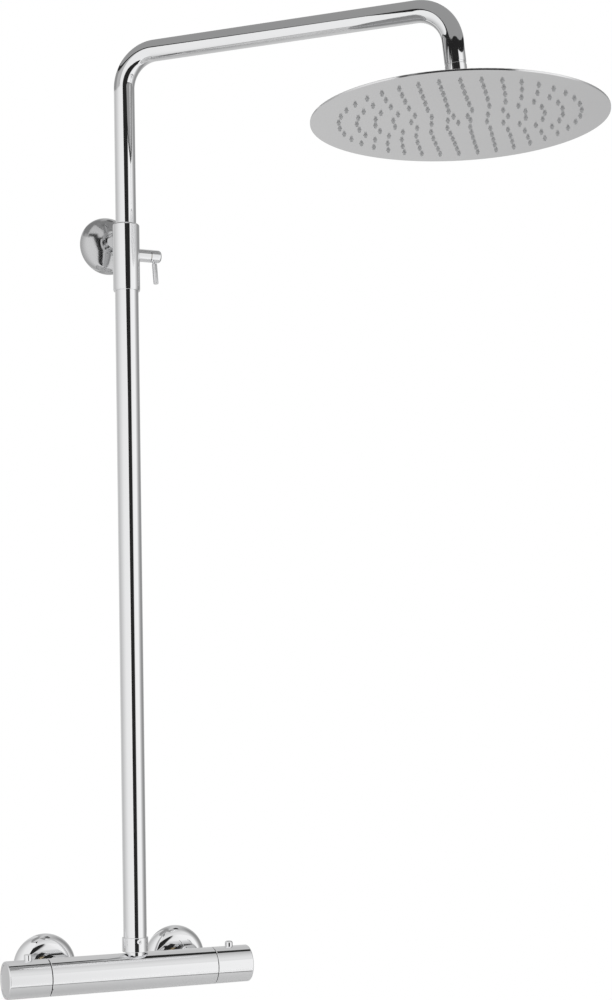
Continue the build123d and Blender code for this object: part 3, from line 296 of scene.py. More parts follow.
# Screen and roof: a curved white screen close on the left, with a rail along its top that is black towards
# the camera, and a grey sheet with a black hem just over the arm. Only mirrors see them.
SCREEN_R = 560.0
SCREEN_BEARINGS = (-150.0, 2.0)
SCREEN_TOP_Z = 1122.0
SCREEN_CUT = ((700.0, 2.0), (1120.0, -12.0))
RAIL_TOP_Z = 1250.0
SCREEN_GREYS = [
    (-150, 0.72), (-136, 0.70), (-125, 0.52), (-105, 0.58), (-88, 0.67), (-72, 0.76), (-60, 0.84),
    (-45, 0.90), (2, 0.93),
]
RAIL_GREYS = [(-150, 0.30), (-95, 0.30), (-85, 0.50), (-36, 0.50), (-31, 0.02), (2, 0.02)]
BLACK = (0.02, 0.02, 0.02, 1.0)
ROOF_Z = 1012.0
ROOF_CIRCLES = ((RISER_X, -AXIS_OUT, 70.0), (263.0, -321.0, 150.0), (190.0, -340.0, 135.0))
HEM = 14.0
DEEP_HEM = 15.0
DEEP_HEM_BEARINGS = (-85.0, 5.0)


def new_glow(name):
    """Empty material with an emission shader: (material, tree, shader, object coordinates)."""
    material, glow_tree, matt_shader, coordinates = new_finish(name)
    glow_tree.nodes.remove(matt_shader)
    glow = wire(glow_tree, "ShaderNodeEmission", Strength=1.0)
    glow_tree.links.new(glow.outputs[0], glow_tree.nodes["Material Output"].inputs["Surface"])
    return material, glow_tree, glow, coordinates


def only_in_mirrors(panel, material):
    """Stage piece that is seen in reflections and nowhere else."""
    panel.data.materials.append(material)
    panel.visible_camera = False
    panel.visible_diffuse = False
    panel.visible_shadow = False


screen_cloth, tree, shader, place = new_glow("screen_cloth")
centred = wire(
    tree, "ShaderNodeMapping", [("vector_type", "TEXTURE")], Vector=place,
    Location=(RISER_X * MM, -AXIS_OUT * MM, 0.0), Rotation=(0.0, 0.0, -np.radians(FLAG_TURN)),
).outputs[0]
parts = wire(tree, "ShaderNodeSeparateXYZ", i0=centred).outputs
turn = share_of_turn(tree, parts)
cloth = round_the_room(tree, turn, SCREEN_GREYS)


def slope_between(tree, value, first, last):
    """Number that goes straight from one (value, result) pair to another and stays level beyond them."""
    return wire(
        tree, "ShaderNodeMapRange", Value=value, From_Min=first[0], From_Max=last[0], To_Min=first[1],
        To_Max=last[1],
    ).outputs[0]


def is_above(tree, value, limit):
    """1 where the value is above the limit, and 0 elsewhere."""
    return wire(tree, "ShaderNodeMath", [("operation", "GREATER_THAN")], i0=value, i1=limit).outputs[0]


cut = slope_between(tree, parts["Z"], *[(z * MM, (angle + 180.0) / 360.0) for z, angle in SCREEN_CUT])
rail = round_the_room(tree, turn, RAIL_GREYS)
with_rail = mixed(tree, is_above(tree, parts["Z"], SCREEN_TOP_Z * MM), cloth, rail)
screen_grey = mixed(tree, is_above(tree, turn, cut), with_rail, BLACK)
tree.links.new(screen_grey, shader.inputs["Color"])

bearings = np.radians(np.linspace(*SCREEN_BEARINGS, STAGE_STEPS) - FLAG_TURN)
screen_foot = np.column_stack(
    (
        RISER_X + SCREEN_R * np.cos(bearings),
        -AXIS_OUT + SCREEN_R * np.sin(bearings),
        np.full(STAGE_STEPS, FLOOR_Z),
    )
)
screen_head = screen_foot + (0.0, 0.0, RAIL_TOP_Z - FLOOR_Z)
step = np.arange(STAGE_STEPS - 1)
screen_faces = np.column_stack((step, step + STAGE_STEPS, step + STAGE_STEPS + 1, step + 1)).tolist()
screen = add_mesh("left_screen", np.concatenate((screen_foot, screen_head)), screen_faces)
only_in_mirrors(screen, screen_cloth)

# The roof's rim is the line stretched round three circles, one over the riser and two about the spout
roof_sheet, tree, shader, place = new_glow("roof_sheet")
roof_grey = mottled(
    tree, place, scale=2.0, detail=2.0, low=(0.30, 0.30, 0.30), high=(0.34, 0.34, 0.34)
)
tree.links.new(roof_grey, shader.inputs["Color"])
normals = np.column_stack((np.cos(round_steps), np.sin(round_steps)))
circles = np.array([np.array((x, y)) + radius * normals for x, y, radius in ROOF_CIRCLES])
outermost = np.argmax(np.sum(circles * normals, axis=2), axis=0)
rim = circles[outermost, np.arange(STAGE_STEPS)]
roof_rim = np.column_stack((rim, np.full(STAGE_STEPS, ROOF_Z)))
roof = add_mesh("roof", roof_rim, [list(range(STAGE_STEPS))])
only_in_mirrors(roof, roof_sheet)

hem_cloth, tree, shader, place = new_glow("hem_cloth")
hem_grey = mottled(
    tree, place, scale=2.0, detail=2.0, low=(0.01, 0.01, 0.01), high=(0.03, 0.03, 0.03)
)
tree.links.new(hem_grey, shader.inputs["Color"])
rim_bearing = np.mod(np.degrees(round_steps) + 180.0, 360.0) - 180.0
deep = (rim_bearing > DEEP_HEM_BEARINGS[0]) & (rim_bearing < DEEP_HEM_BEARINGS[1])
hem_foot = roof_rim - np.column_stack(
    (np.zeros(STAGE_STEPS), np.zeros(STAGE_STEPS), np.where(deep, DEEP_HEM, HEM))
)
step = np.arange(STAGE_STEPS)
hem_faces = np.column_stack(
    (step, (step + 1) % STAGE_STEPS, (step + 1) % STAGE_STEPS + STAGE_STEPS, step + STAGE_STEPS)
).tolist()
hem = add_mesh("roof_hem", np.concatenate((roof_rim, hem_foot)), hem_faces)
only_in_mirrors(hem, hem_cloth)

# Wall unions: offset brass couplings screwed into the wall's elbows, G1/2 behind and G3/4 in front on an axis
# a little lower, with cut threads and a web across the wall end's bore that a key turns them by. Each holds
# a push-in check valve of moulded acetal.
INLET_XS = (-75.0, 75.0)
MIXER_Z = -4.0
OUT = (0.0, -1.0, 0.0)
UNION_BORE_R = 7.5
G_HALF = (10.48, 1.814, 1.0)
G_THREE_QUARTER = (13.22, 1.814, 1.0)
WALL_THREAD = (-14.0, -0.5)
NUT_THREAD = (14.0, 29.0)
THREAD_FLAT = 0.15
THREAD_RUN_IN = 0.3


def outline_of(corners, arc_steps=5):
    """Points and outward normals of a closed outline in the (radius, along) plane, given anticlockwise.
    A corner (r, s, q) with q above 0 becomes an arc of radius q: point = centre + q n, where n turns evenly
    from one side's normal to the next; with q = 0 it stays one point with the mean of the two normals."""
    corners = np.array([(*corner, 0.0)[:3] for corner in corners], float)
    spots, rounds = corners[:, :2], corners[:, 2]
    sides = np.roll(spots, -1, 0) - spots
    lengths = np.linalg.norm(sides, axis=1)
    sides /= lengths[:, None]
    normals = np.column_stack((sides[:, 1], -sides[:, 0]))
    before, after = np.roll(normals, 1, 0), normals
    into = np.roll(sides, 1, 0)
    bend = np.arctan2(
        into[:, 0] * sides[:, 1] - into[:, 1] * sides[:, 0], np.sum(into * sides, axis=1)
    )
    half = np.tan(np.abs(bend) / 2.0)
    room_for = 0.49 * np.minimum(lengths, np.roll(lengths, 1))
    rounds = np.minimum(rounds, room_for / np.maximum(half, 1e-9))
    side = np.sign(bend)
    middle = before + after
    middle /= np.linalg.norm(middle, axis=1)[:, None]
    centres = spots - side[:, None] * middle * (rounds / np.cos(bend / 2.0))[:, None]
    share = np.linspace(-0.5, 0.5, arc_steps)[None, :] * bend[:, None]
    cos_share, sin_share = np.cos(share), np.sin(share)
    fan = np.stack(
        (
            cos_share * middle[:, :1] - sin_share * middle[:, 1:],
            sin_share * middle[:, :1] + cos_share * middle[:, 1:],
        ),
        axis=-1,
    )
    arcs = centres[:, None] + (side * rounds)[:, None, None] * fan
    keep = np.ones(arcs.shape[:2], bool)
    keep[rounds <= 0.0, 1:] = False
    fan[rounds <= 0.0] = middle[rounds <= 0.0][:, None]
    arcs[rounds <= 0.0] = spots[rounds <= 0.0][:, None]
    return arcs[keep], fan[keep]


def axes_about(direction):
    """Two unit vectors square to a direction, so that first x second = direction."""
    along = np.array(direction, float)
    helper = np.array((0.0, 0.0, 1.0)) if abs(along[2]) < 0.9 else np.array((1.0, 0.0, 0.0))
    first = np.cross(helper, along)
    first /= np.linalg.norm(first)
    return first, np.cross(along, first), along


def turned(start, direction, corners, steps=96, row=None, shape=None):
    """Points, faces and normals of a closed outline turned about a line.
    p(u, t) = start + s(u) d + r(u, t) (cos t e1 + sin t e2), where shape(r, s, t) may alter r.
    Sides longer than row are divided. An outline point on the line becomes one pole."""
    spots, flat_normals = outline_of(corners)
    if row is not None:
        gaps = np.linalg.norm(np.roll(spots, -1, 0) - spots, axis=1)
        counts = np.maximum(1, np.ceil(gaps / row)).astype(int)
        owner = np.repeat(np.arange(len(spots)), counts)
        share = (np.arange(counts.sum()) - np.repeat(np.cumsum(counts) - counts, counts)) / counts[owner]
        spots = spots[owner] + share[:, None] * (np.roll(spots, -1, 0)[owner] - spots[owner])
        flat_normals = flat_normals[owner]
    first, second, along = axes_about(direction)
    angles = np.arange(steps) * 2.0 * np.pi / steps
    radii = np.repeat(spots[:, :1], steps, 1)
    if shape is not None:
        radii = shape(radii, spots[:, 1:], angles[None, :])
    spokes = np.cos(angles)[:, None] * first + np.sin(angles)[:, None] * second
    points = np.array(start) + spots[:, 1][:, None, None] * along + radii[..., None] * spokes
    normals = flat_normals[:, :1][:, None] * spokes + flat_normals[:, 1:][:, None] * along
    rows, columns = np.meshgrid(np.arange(len(spots)), np.arange(steps), indexing="ij")
    numbers = rows * steps + columns
    on_line = spots[:, 0] < 1e-6
    numbers[on_line] = numbers[on_line][:, :1]
    below, above = numbers, np.roll(numbers, -1, 0)
    quads = np.stack((below, np.roll(below, -1, 1), np.roll(above, -1, 1), above), -1).reshape(-1, 4)
    return points.reshape(-1, 3), quads, normals.reshape(-1, 3)


def tidy_faces(quads):
    """Faces as lists, with quads that meet a pole as triangles and those along the line left out."""
    same = quads == np.roll(quads, -1, 1)
    whole = quads[~same.any(1)].tolist()
    at_pole = quads[same.sum(1) == 1]
    corner = same[same.sum(1) == 1].argmax(1)
    spread = np.array([[0, 2, 3], [0, 1, 3], [0, 1, 2], [1, 2, 3]])[corner]
    return whole + np.take_along_axis(at_pole, spread, 1).tolist()


def add_piece(name, surfaces, material, body, stands_for, crease=None):
    """One piece from several closed surfaces, in place of the CAD nodes that it stands for.
    With a crease angle the normals come from the mesh; without it each surface brings its own."""
    sizes = np.cumsum([0] + [len(surface[0]) for surface in surfaces])
    points = np.concatenate([surface[0] for surface in surfaces])
    normals = np.concatenate([surface[2] for surface in surfaces])
    quads = np.concatenate([surface[1] + offset for surface, offset in zip(surfaces, sizes)])
    used = np.unique(quads)
    renumber = np.zeros(len(points), int)
    renumber[used] = np.arange(len(used))
    made = add_mesh(name, points[used], tidy_faces(renumber[quads]))
    made.data.shade_smooth()
    if crease is None:
        made.data.normals_split_custom_set_from_vertices(normals[used].tolist())
    else:
        made.data.set_sharp_from_angle(angle=np.radians(crease))
    made.data.materials.append(material)
    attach(made, body)
    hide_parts(*stands_for)
    return made


def threaded(first, last, size):
    """Shape for turned(): a V thread of (major radius, pitch, depth) cut between two places along the axis.
    r falls by depth times a triangle wave of s / pitch - t / 2 pi, with flats at crest and root, faded in
    over one pitch at each end."""
    major, pitch, depth = size

    def cut(radii, along, angles):
        phase = np.mod(along / pitch - angles / (2.0 * np.pi), 1.0)
        wave = np.clip(2.0 * np.abs(phase - 0.5) * (1.0 + 2.0 * THREAD_FLAT) - THREAD_FLAT, 0.0, 1.0)
        fade = np.clip(np.minimum(along - first, last - along) / pitch + THREAD_RUN_IN, 0.0, 1.0)
        return np.where(radii > major - 1.2 * depth, radii - depth * wave * fade, radii)

    return cut


brass, tree, shader, place = new_finish("turned_brass")
shader.inputs["Metallic"].default_value = 1.0
brass_colour = mottled(
    tree, place, scale=90.0, detail=4.0, low=(0.74, 0.54, 0.25), high=(0.83, 0.65, 0.34)
)
tree.links.new(brass_colour, shader.inputs["Base Color"])
stain = wire(tree, "ShaderNodeTexNoise", Vector=place, Scale=260.0, Detail=5.0)
tree.links.new(between(tree, stain.outputs[0], 0.22, 0.42), shader.inputs["Roughness"])
tool_marks = wire(tree, "ShaderNodeTexNoise", Vector=place, Scale=1800.0, Detail=2.0)
marks = wire(tree, "ShaderNodeBump", Strength=0.15, Distance=0.0001, Height=tool_marks.outputs[0])
tree.links.new(marks.outputs[0], shader.inputs["Normal"])

WALL_END_OUTLINE = [
    (UNION_BORE_R, -14.0, 0.3), (9.5, -14.0, 0.2), (10.48, -13.0, 0.2), (10.48, -0.5, 0.1), (10.0, -0.5, 0.1),
    (10.0, 14.8, 0.3), (UNION_BORE_R, 14.8, 0.1),
]
NUT_END_OUTLINE = [
    (UNION_BORE_R, 14.0, 0.1), (13.22, 14.0, 0.5), (13.22, 29.0, 0.4), (UNION_BORE_R, 29.0, 0.3),
]
WEB_HALF = (2.5, 1.5)
WEB_REACH = 8.0
WEB_OUT = -6.75


def bar_section(radii, along, angles):
    """Shape for turned(): a rectangle of the web's half sizes, r = 1 / max(|cos t| / a, |sin t| / b)."""
    sides = 1.0 / np.maximum(np.abs(np.cos(angles)) / WEB_HALF[1], np.abs(np.sin(angles)) / WEB_HALF[0])
    return np.where(radii > 0.0, sides, radii)


# Each outline runs out from the wall, along -Y
unions = []
for x in INLET_XS:
    unions.append(
        turned((x, 0.0, 0.0), OUT, WALL_END_OUTLINE, steps=72, row=0.3, shape=threaded(*WALL_THREAD, G_HALF))
    )
    unions.append(
        turned(
            (x, 0.0, MIXER_Z), OUT, NUT_END_OUTLINE, steps=72, row=0.3,
            shape=threaded(*NUT_THREAD, G_THREE_QUARTER),
        )
    )
    unions.append(
        turned(
            (x, -WEB_OUT, 0.0), (1.0, 0.0, 0.0),
            [(0.0, -WEB_REACH), (1.0, -WEB_REACH), (1.0, WEB_REACH), (0.0, WEB_REACH)],
            steps=48, shape=bar_section,
        )
    )
add_piece("wall_union_couplings", unions, brass, "column", ["wall_unions"], crease=35.0)

acetal, tree, shader, place = new_finish("moulded_acetal")
acetal_colour = mottled(
    tree, place, scale=60.0, detail=3.0, low=(0.82, 0.82, 0.79), high=(0.89, 0.89, 0.87)
)
tree.links.new(acetal_colour, shader.inputs["Base Color"])
flow_lines = wire(tree, "ShaderNodeTexNoise", Vector=place, Scale=400.0, Detail=4.0)
tree.links.new(between(tree, flow_lines.outputs[0], 0.32, 0.48), shader.inputs["Roughness"])
skin = wire(tree, "ShaderNodeBump", Strength=0.1, Distance=0.0001, Height=flow_lines.outputs[0])
tree.links.new(skin.outputs[0], shader.inputs["Normal"])


def dress(material, *names):
    """Gives CAD nodes one finish."""
    for name in names:
        mesh = nodes[name].data
        mesh.materials.clear()
        mesh.materials.append(material)


dress(brass, "inlet_tails")
dress(acetal, "check_valves")

# Filter washers: moulded rings of black rubber. The union nuts squeeze them between each union's face and the
# inlet tail's flange.
rubber, tree, shader, place = new_finish("black_rubber")
rubber_colour = mottled(
    tree, place, scale=300.0, detail=4.0, low=(0.025, 0.025, 0.027), high=(0.055, 0.055, 0.055)
)
tree.links.new(rubber_colour, shader.inputs["Base Color"])
bloom = wire(tree, "ShaderNodeTexNoise", Vector=place, Scale=1200.0, Detail=4.0)
tree.links.new(between(tree, bloom.outputs[0], 0.5, 0.75), shader.inputs["Roughness"])
grain = wire(tree, "ShaderNodeBump", Strength=0.25, Distance=0.0001, Height=bloom.outputs[0])
tree.links.new(grain.outputs[0], shader.inputs["Normal"])
dress(rubber, "inlet_filter_washers")

# Union nuts: brass hexagons, turned to a crown at both ends, threaded G3/4 and chromed. They pull each inlet
# tail onto its union.
NUT_FLATS_R = 16.0
NUT_NEAR_OUT = 18.0
NUT_FAR_OUT = 40.5
NUT_CORNER_R = 18.25
NUT_SHOULDER_OUT = 34.05

chrome, tree, shader, place = new_finish("polished_chrome")
shader.inputs["Metallic"].default_value = 1.0
plate_colour = mottled(
    tree, place, scale=14.0, detail=3.0, low=(0.87, 0.875, 0.885), high=(0.90, 0.90, 0.905)
)
tree.links.new(plate_colour, shader.inputs["Base Color"])
wiped = wire(tree, "ShaderNodeTexNoise", Vector=place, Scale=28.0, Detail=6.0, Roughness=0.62)
tree.links.new(between(tree, wiped.outputs[0], 0.015, 0.06), shader.inputs["Roughness"])
plating = wire(tree, "ShaderNodeTexNoise", Vector=place, Scale=75.0, Detail=2.0)
ripple = wire(tree, "ShaderNodeBump", Strength=0.025, Distance=0.0002, Height=plating.outputs[0])
tree.links.new(ripple.outputs[0], shader.inputs["Normal"])

NUT_OUTLINE = [
    (13.27, NUT_NEAR_OUT, 0.3), (16.9, NUT_NEAR_OUT, 0.5), (18.5, 19.6, 0.6), (18.5, 38.9, 0.6),
    (16.9, NUT_FAR_OUT, 0.5), (10.25, NUT_FAR_OUT, 0.3), (10.25, NUT_SHOULDER_OUT, 0.1),
    (13.27, NUT_SHOULDER_OUT, 0.1),
]


def hexagon(radii, along, angles):
    """Hexagon with softened corners: r is at most flats / cos of the angle from the nearest flat's middle."""
    from_flat = np.mod(angles + np.pi / 6.0, np.pi / 3.0) - np.pi / 6.0
    sides = np.minimum(NUT_FLATS_R / np.cos(from_flat), NUT_CORNER_R)
    return np.minimum(radii, sides)


nuts = [
    turned((x, 0.0, MIXER_Z), OUT, NUT_OUTLINE, steps=144, row=1.2, shape=hexagon) for x in INLET_XS
]
add_piece("union_hex_nuts", nuts, chrome, "column", ["union_nuts"], crease=22.0)

# Roses: thin brass pressings with a nearly flat front and a rolled rim, chromed. They slide along the unions
# and hide the holes in the wall.
ROSE_WALL = 1.2
ROSE_R = 34.5
ROSE_RISE = 14.0
ROSE_KNUCKLE_R = 13.5
ROSE_HOLE_R = 10.58
ROSE_ARC_STEPS = 30
ROSE_EDGE = 0.35


def dome_outline(rim_r, rise, knuckle_r, hole_r, neck=()):
    """Pressed cover of even thickness: from the wall a knuckle arc of radius k turns in to a crown arc.
    The crown is centred d = ((R - k)^2 - (h - k)^2) / (2 (h - k)) behind the wall, R and h being the rim's
    radius and the rise. A neck (radius, place of its end) stands round the hole."""
    side, above = rim_r - knuckle_r, rise - knuckle_r
    depth = (side**2 - above**2) / (2.0 * above)
    meet = np.arctan2(depth, side)

    def face(crown_r, bend_r, inmost_r):
        knuckle = np.linspace(0.0, meet, ROSE_ARC_STEPS)
        crown = np.linspace(meet, np.arccos(inmost_r / crown_r), ROSE_ARC_STEPS)[1:]
        radii = np.concatenate((side + bend_r * np.cos(knuckle), crown_r * np.cos(crown)))
        heights = np.concatenate((bend_r * np.sin(knuckle), crown_r * np.sin(crown) - depth))
        edges = np.zeros(len(radii))
        edges[[0, -1]] = ROSE_EDGE
        return np.column_stack((radii, heights, edges)).tolist()

    front = face(rise + depth, knuckle_r, neck[0] if neck else hole_r)
    behind = face(rise + depth - ROSE_WALL, knuckle_r - ROSE_WALL, hole_r)
    collar = [(*neck, ROSE_EDGE), (hole_r, neck[1], ROSE_EDGE)] if neck else []
    return [*front, *collar, *behind[::-1]]


for x, name in zip(INLET_XS, ("hot_rose", "cold_rose")):
    rose_outline = dome_outline(ROSE_R, ROSE_RISE, ROSE_KNUCKLE_R, ROSE_HOLE_R)
    rose = turned((x, 0.0, 0.0), OUT, rose_outline, steps=144)
    add_piece(name + "_cover", [rose], chrome, "column", [name])

# Mixer body: a hollow brass casting with a turned bar, two inlet bosses behind and an outlet neck on top,
# ground and chromed. The inlet tails screw into its bosses.
dress(chrome, "mixer_body")

# Flow valve: a turned brass cartridge, screwed into the mixer's left end. Its spindle turns one lapped
# ceramic disc on another.
ceramic, tree, shader, place = new_finish("lapped_ceramic")
ceramic_colour = mottled(
    tree, place, scale=500.0, detail=3.0, low=(0.86, 0.86, 0.84), high=(0.91, 0.91, 0.89)
)
tree.links.new(ceramic_colour, shader.inputs["Base Color"])
lapping = wire(tree, "ShaderNodeTexNoise", Vector=place, Scale=2500.0, Detail=3.0)
tree.links.new(between(tree, lapping.outputs[0], 0.1, 0.22), shader.inputs["Roughness"])
dress(brass, "flow_cartridge_body", "flow_spindle")
dress(ceramic, "flow_fixed_disc", "flow_moving_disc")
dress(acetal, "flow_stop_ring")

# Thermostat: an acetal cartridge with a wax element that moves a shuttle against a coiled steel spring. The
# spring stands on the cartridge's floor and is pressed together as the shuttle comes back.
RETURN_SPRING_FOOT = np.array((36.6, -AXIS_OUT, MIXER_Z))
RETURN_SPRING_R = 7.0
RETURN_SPRING_WIRE_R = 0.55
RETURN_SPRING_LENGTH = 7.7
SPRING_TURNS = 4
CLOSED_TURN_RISE = 2.1
RINGS_A_TURN = 48
WIRE_STEPS = 12

spring_steel, tree, shader, place = new_finish("drawn_steel")
shader.inputs["Metallic"].default_value = 1.0
steel_colour = mottled(
    tree, place, scale=200.0, detail=3.0, low=(0.48, 0.48, 0.49), high=(0.60, 0.60, 0.61)
)
tree.links.new(steel_colour, shader.inputs["Base Color"])
drawn = wire(tree, "ShaderNodeTexNoise", Vector=place, Scale=900.0, Detail=4.0)
tree.links.new(between(tree, drawn.outputs[0], 0.22, 0.38), shader.inputs["Roughness"])
die_lines = wire(tree, "ShaderNodeBump", Strength=0.12, Distance=0.0001, Height=drawn.outputs[0])
tree.links.new(die_lines.outputs[0], shader.inputs["Normal"])
dress(acetal, "thermostat_body", "regulator_cup", "mixing_shuttle", "temperature_stop_ring")
dress(rubber, "thermostat_seals")
dress(brass, "temperature_spindle", "wax_element")


def wire_coil(foot, direction, coil_r, wire_r, length):
    """Spring p(u, t) = c(u) + w (cos t m + sin t b): c climbs a helix with a closed turn at each end, m
    points out from the helix's axis, and b is square to m and to the wire. Each end closes on one point."""
    first, second, along = axes_about(direction)
    turns = np.linspace(0.0, SPRING_TURNS, SPRING_TURNS * RINGS_A_TURN)
    rise = length - 2.0 * wire_r
    closed = CLOSED_TURN_RISE * wire_r
    climb = wire_r + np.interp(
        turns, (0.0, 1.0, SPRING_TURNS - 1.0, SPRING_TURNS), (0.0, closed, rise - closed, rise)
    )
    outward = np.outer(np.cos(2.0 * np.pi * turns), first) + np.outer(np.sin(2.0 * np.pi * turns), second)
    middle = foot + np.outer(climb, along) + coil_r * outward
    onward = np.gradient(middle, axis=0)
    onward /= np.linalg.norm(onward, axis=1)[:, None]
    square = np.cross(onward, outward)
    t = np.arange(WIRE_STEPS) * 2.0 * np.pi / WIRE_STEPS
    spokes = np.cos(t)[None, :, None] * outward[:, None] + np.sin(t)[None, :, None] * square[:, None]
    ends = np.repeat(middle[[0, -1], None], WIRE_STEPS, 1)
    end_ways = np.repeat(onward[[0, -1], None], WIRE_STEPS, 1)
    points = np.concatenate((ends[:1], middle[:, None] + wire_r * spokes, ends[1:]))
    normals = np.concatenate((-end_ways[:1], spokes, end_ways[1:]))
    numbers = np.arange(points.shape[0] * WIRE_STEPS).reshape(-1, WIRE_STEPS)
    numbers[[0, -1]] = numbers[[0, -1], :1]
    below, above = numbers[:-1], numbers[1:]
    quads = np.stack((below, np.roll(below, -1, 1), np.roll(above, -1, 1), above), -1).reshape(-1, 4)
    return points.reshape(-1, 3), quads, normals.reshape(-1, 3)


return_wire = wire_coil(
    RETURN_SPRING_FOOT, (1.0, 0.0, 0.0), RETURN_SPRING_R, RETURN_SPRING_WIRE_R, RETURN_SPRING_LENGTH
)
return_spring = add_piece(
    "return_spring_coil", [return_wire], spring_steel, "column",
    ["thermostat_return_spring"], crease=40.0,
)
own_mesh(return_spring)

# Handles: hollow chromed knobs, each with a screw under its end cap and a stop button on top, which presses
# a small coiled spring down onto the knob's hub.
BUTTON_XS = (("flow", -111.4), ("temperature", 115.0))
BUTTON_SPRING_FOOT_Z = MIXER_Z + 8.3
BUTTON_SPRING_R = 3.0
BUTTON_SPRING_WIRE_R = 0.25
BUTTON_SPRING_LENGTH = 6.05

dress(chrome, "flow_handle", "temperature_handle", "flow_end_cap", "temperature_end_cap")
dress(chrome, "flow_button", "temperature_button")
dress(spring_steel, "flow_handle_screw", "temperature_handle_screw")
for side, x in BUTTON_XS:
    foot = np.array((x, -AXIS_OUT, BUTTON_SPRING_FOOT_Z))
    button_wire = wire_coil(
        foot, (0.0, 0.0, 1.0), BUTTON_SPRING_R, BUTTON_SPRING_WIRE_R, BUTTON_SPRING_LENGTH
    )
    button_spring = add_piece(
        side + "_spring_coil", [button_wire], spring_steel, side + "_handle",
        [side + "_button_spring"], crease=40.0,
    )
    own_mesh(button_spring)

# Outlet collar: a chromed brass ring nut on the mixer's outlet. It seals on a rubber ring and grips the
# riser's foot with a grub screw.
dress(chrome, "outlet_collar")
dress(rubber, "outlet_seal")
dress(chrome, "collar_grub_screw")

# Lower riser tube and clamp sleeve: drawn brass tube, ground and chromed. The sleeve is brazed on top and
# holds an acetal bush that guides the upper tube.
dress(chrome, "lower_riser_tube", "clamp_sleeve")
dress(acetal, "guide_bush")

# Guide piston: turned brass with two rubber rings in its grooves. The upper tube stands on it inside the
# lower tube.
dress(brass, "guide_piston")
dress(rubber, "piston_seals")

# Wall bracket: a brass plate held by two countersunk steel wood screws. A chromed brass post is clamped to
# it by a grub screw, and a pressed rose slides up to cover both.
BRACKET_Z = MIXER_Z + 791.2
WALL_SCREW_XS = (RISER_X - 13.0, RISER_X + 13.0)
PLATE = 6.0
WOOD_THREAD = (2.5, 2.2, 0.75)
WOOD_THREAD_ENDS = (6.5, 34.0)
BRACKET_ROSE_R = 31.0
BRACKET_ROSE_RISE = 18.0
BRACKET_ROSE_KNUCKLE_R = 13.0
BRACKET_ROSE_HOLE_R = 9.1
BRACKET_ROSE_NECK = (12.5, 20.5)

dress(brass, "bracket_base")
dress(chrome, "bracket_post")
dress(spring_steel, "bracket_grub_screw")

SCREW_OUTLINE = [
    (0.0, 0.0), (4.6, 0.0, 0.25), (2.2, 2.4, 0.3), (2.2, 6.5, 0.05), (2.5, 6.5, 0.05), (2.5, 30.0, 0.3),
    (0.0, 34.0),
]
# The screws point into the wall, so the outline runs along +Y from the head to the tip
screws = [
    turned(
        (x, -PLATE, BRACKET_Z), (0.0, 1.0, 0.0), SCREW_OUTLINE, steps=48, row=0.3,
        shape=threaded(*WOOD_THREAD_ENDS, WOOD_THREAD),
    )
    for x in WALL_SCREW_XS
]
add_piece("bracket_wood_screws", screws, spring_steel, "column", ["bracket_screws"], crease=35.0)

pressing, tree, shader, place = new_finish("pressed_chrome")
shader.inputs["Metallic"].default_value = 1.0
pressing_colour = mottled(
    tree, place, scale=20.0, detail=3.0, low=(0.58, 0.585, 0.59), high=(0.64, 0.64, 0.645)
)
tree.links.new(pressing_colour, shader.inputs["Base Color"])
polish = wire(tree, "ShaderNodeTexNoise", Vector=place, Scale=45.0, Detail=5.0)
tree.links.new(between(tree, polish.outputs[0], 0.08, 0.2), shader.inputs["Roughness"])
cover_outline = dome_outline(
    BRACKET_ROSE_R, BRACKET_ROSE_RISE, BRACKET_ROSE_KNUCKLE_R, BRACKET_ROSE_HOLE_R, BRACKET_ROSE_NECK
)
bracket_cover = turned((RISER_X, 0.0, BRACKET_Z), OUT, cover_outline, steps=144)
add_piece("bracket_rose_cover", [bracket_cover], pressing, "column", ["bracket_rose"])

# Height lock: a chromed hub on the sleeve's side with a cap that the lever turns, a brass spindle and an
# acetal brake shoe.
dress(chrome, "lock_hub", "lock_cap", "lever_pin")
dress(brass, "lock_spindle")
dress(acetal, "brake_shoe")

# Upper arm tube: one length of drawn brass tube, bent forward over the head and down at the spout, then
# chromed. A threaded insert is brazed into its end.
UPPER_TUBE_R = 11.0
UPPER_TUBE_BORE_R = 10.0
TUBE_FOOT_Z = MIXER_Z + 470.3
ARM_Z = MIXER_Z + 982.0
ARM_REACH = 362.1
ARM_HEADING = np.radians(-45.0)
ARM_BEND_R = 36.5
SPOUT_BEND_R = 38.8
SPOUT_LEAN = np.radians(6.0)
SPOUT_LENGTH = 57.73
BEND_STEPS = 40
TUBE_STEPS = 128

arm_way = np.array((np.cos(ARM_HEADING), np.sin(ARM_HEADING), 0.0))
arm_side = np.array((-np.sin(ARM_HEADING), np.cos(ARM_HEADING), 0.0))
first_bend = np.linspace(0.0, np.pi / 2.0, BEND_STEPS)
spout_bend = np.linspace(0.0, np.pi / 2.0 - SPOUT_LEAN, BEND_STEPS)
# In the arm's own plane: distance out, height, and the direction of travel's angle above level
spout_start = ARM_REACH - SPOUT_BEND_R * np.tan(spout_bend[-1] / 2.0)
out = np.concatenate(
    (
        [0.0],
        ARM_BEND_R * (1.0 - np.cos(first_bend)),
        spout_start + SPOUT_BEND_R * np.sin(spout_bend),
        [ARM_REACH + SPOUT_LENGTH * np.sin(SPOUT_LEAN)],
    )
)
level = np.concatenate(
    (
        [TUBE_FOOT_Z],
        ARM_Z - ARM_BEND_R * (1.0 - np.sin(first_bend)),
        ARM_Z - SPOUT_BEND_R * (1.0 - np.cos(spout_bend)),
        [ARM_Z - SPOUT_LENGTH * np.cos(SPOUT_LEAN)],
    )
)
slope = np.concatenate(
    ([np.pi / 2.0], np.pi / 2.0 - first_bend, -spout_bend, [SPOUT_LEAN - np.pi / 2.0])
)


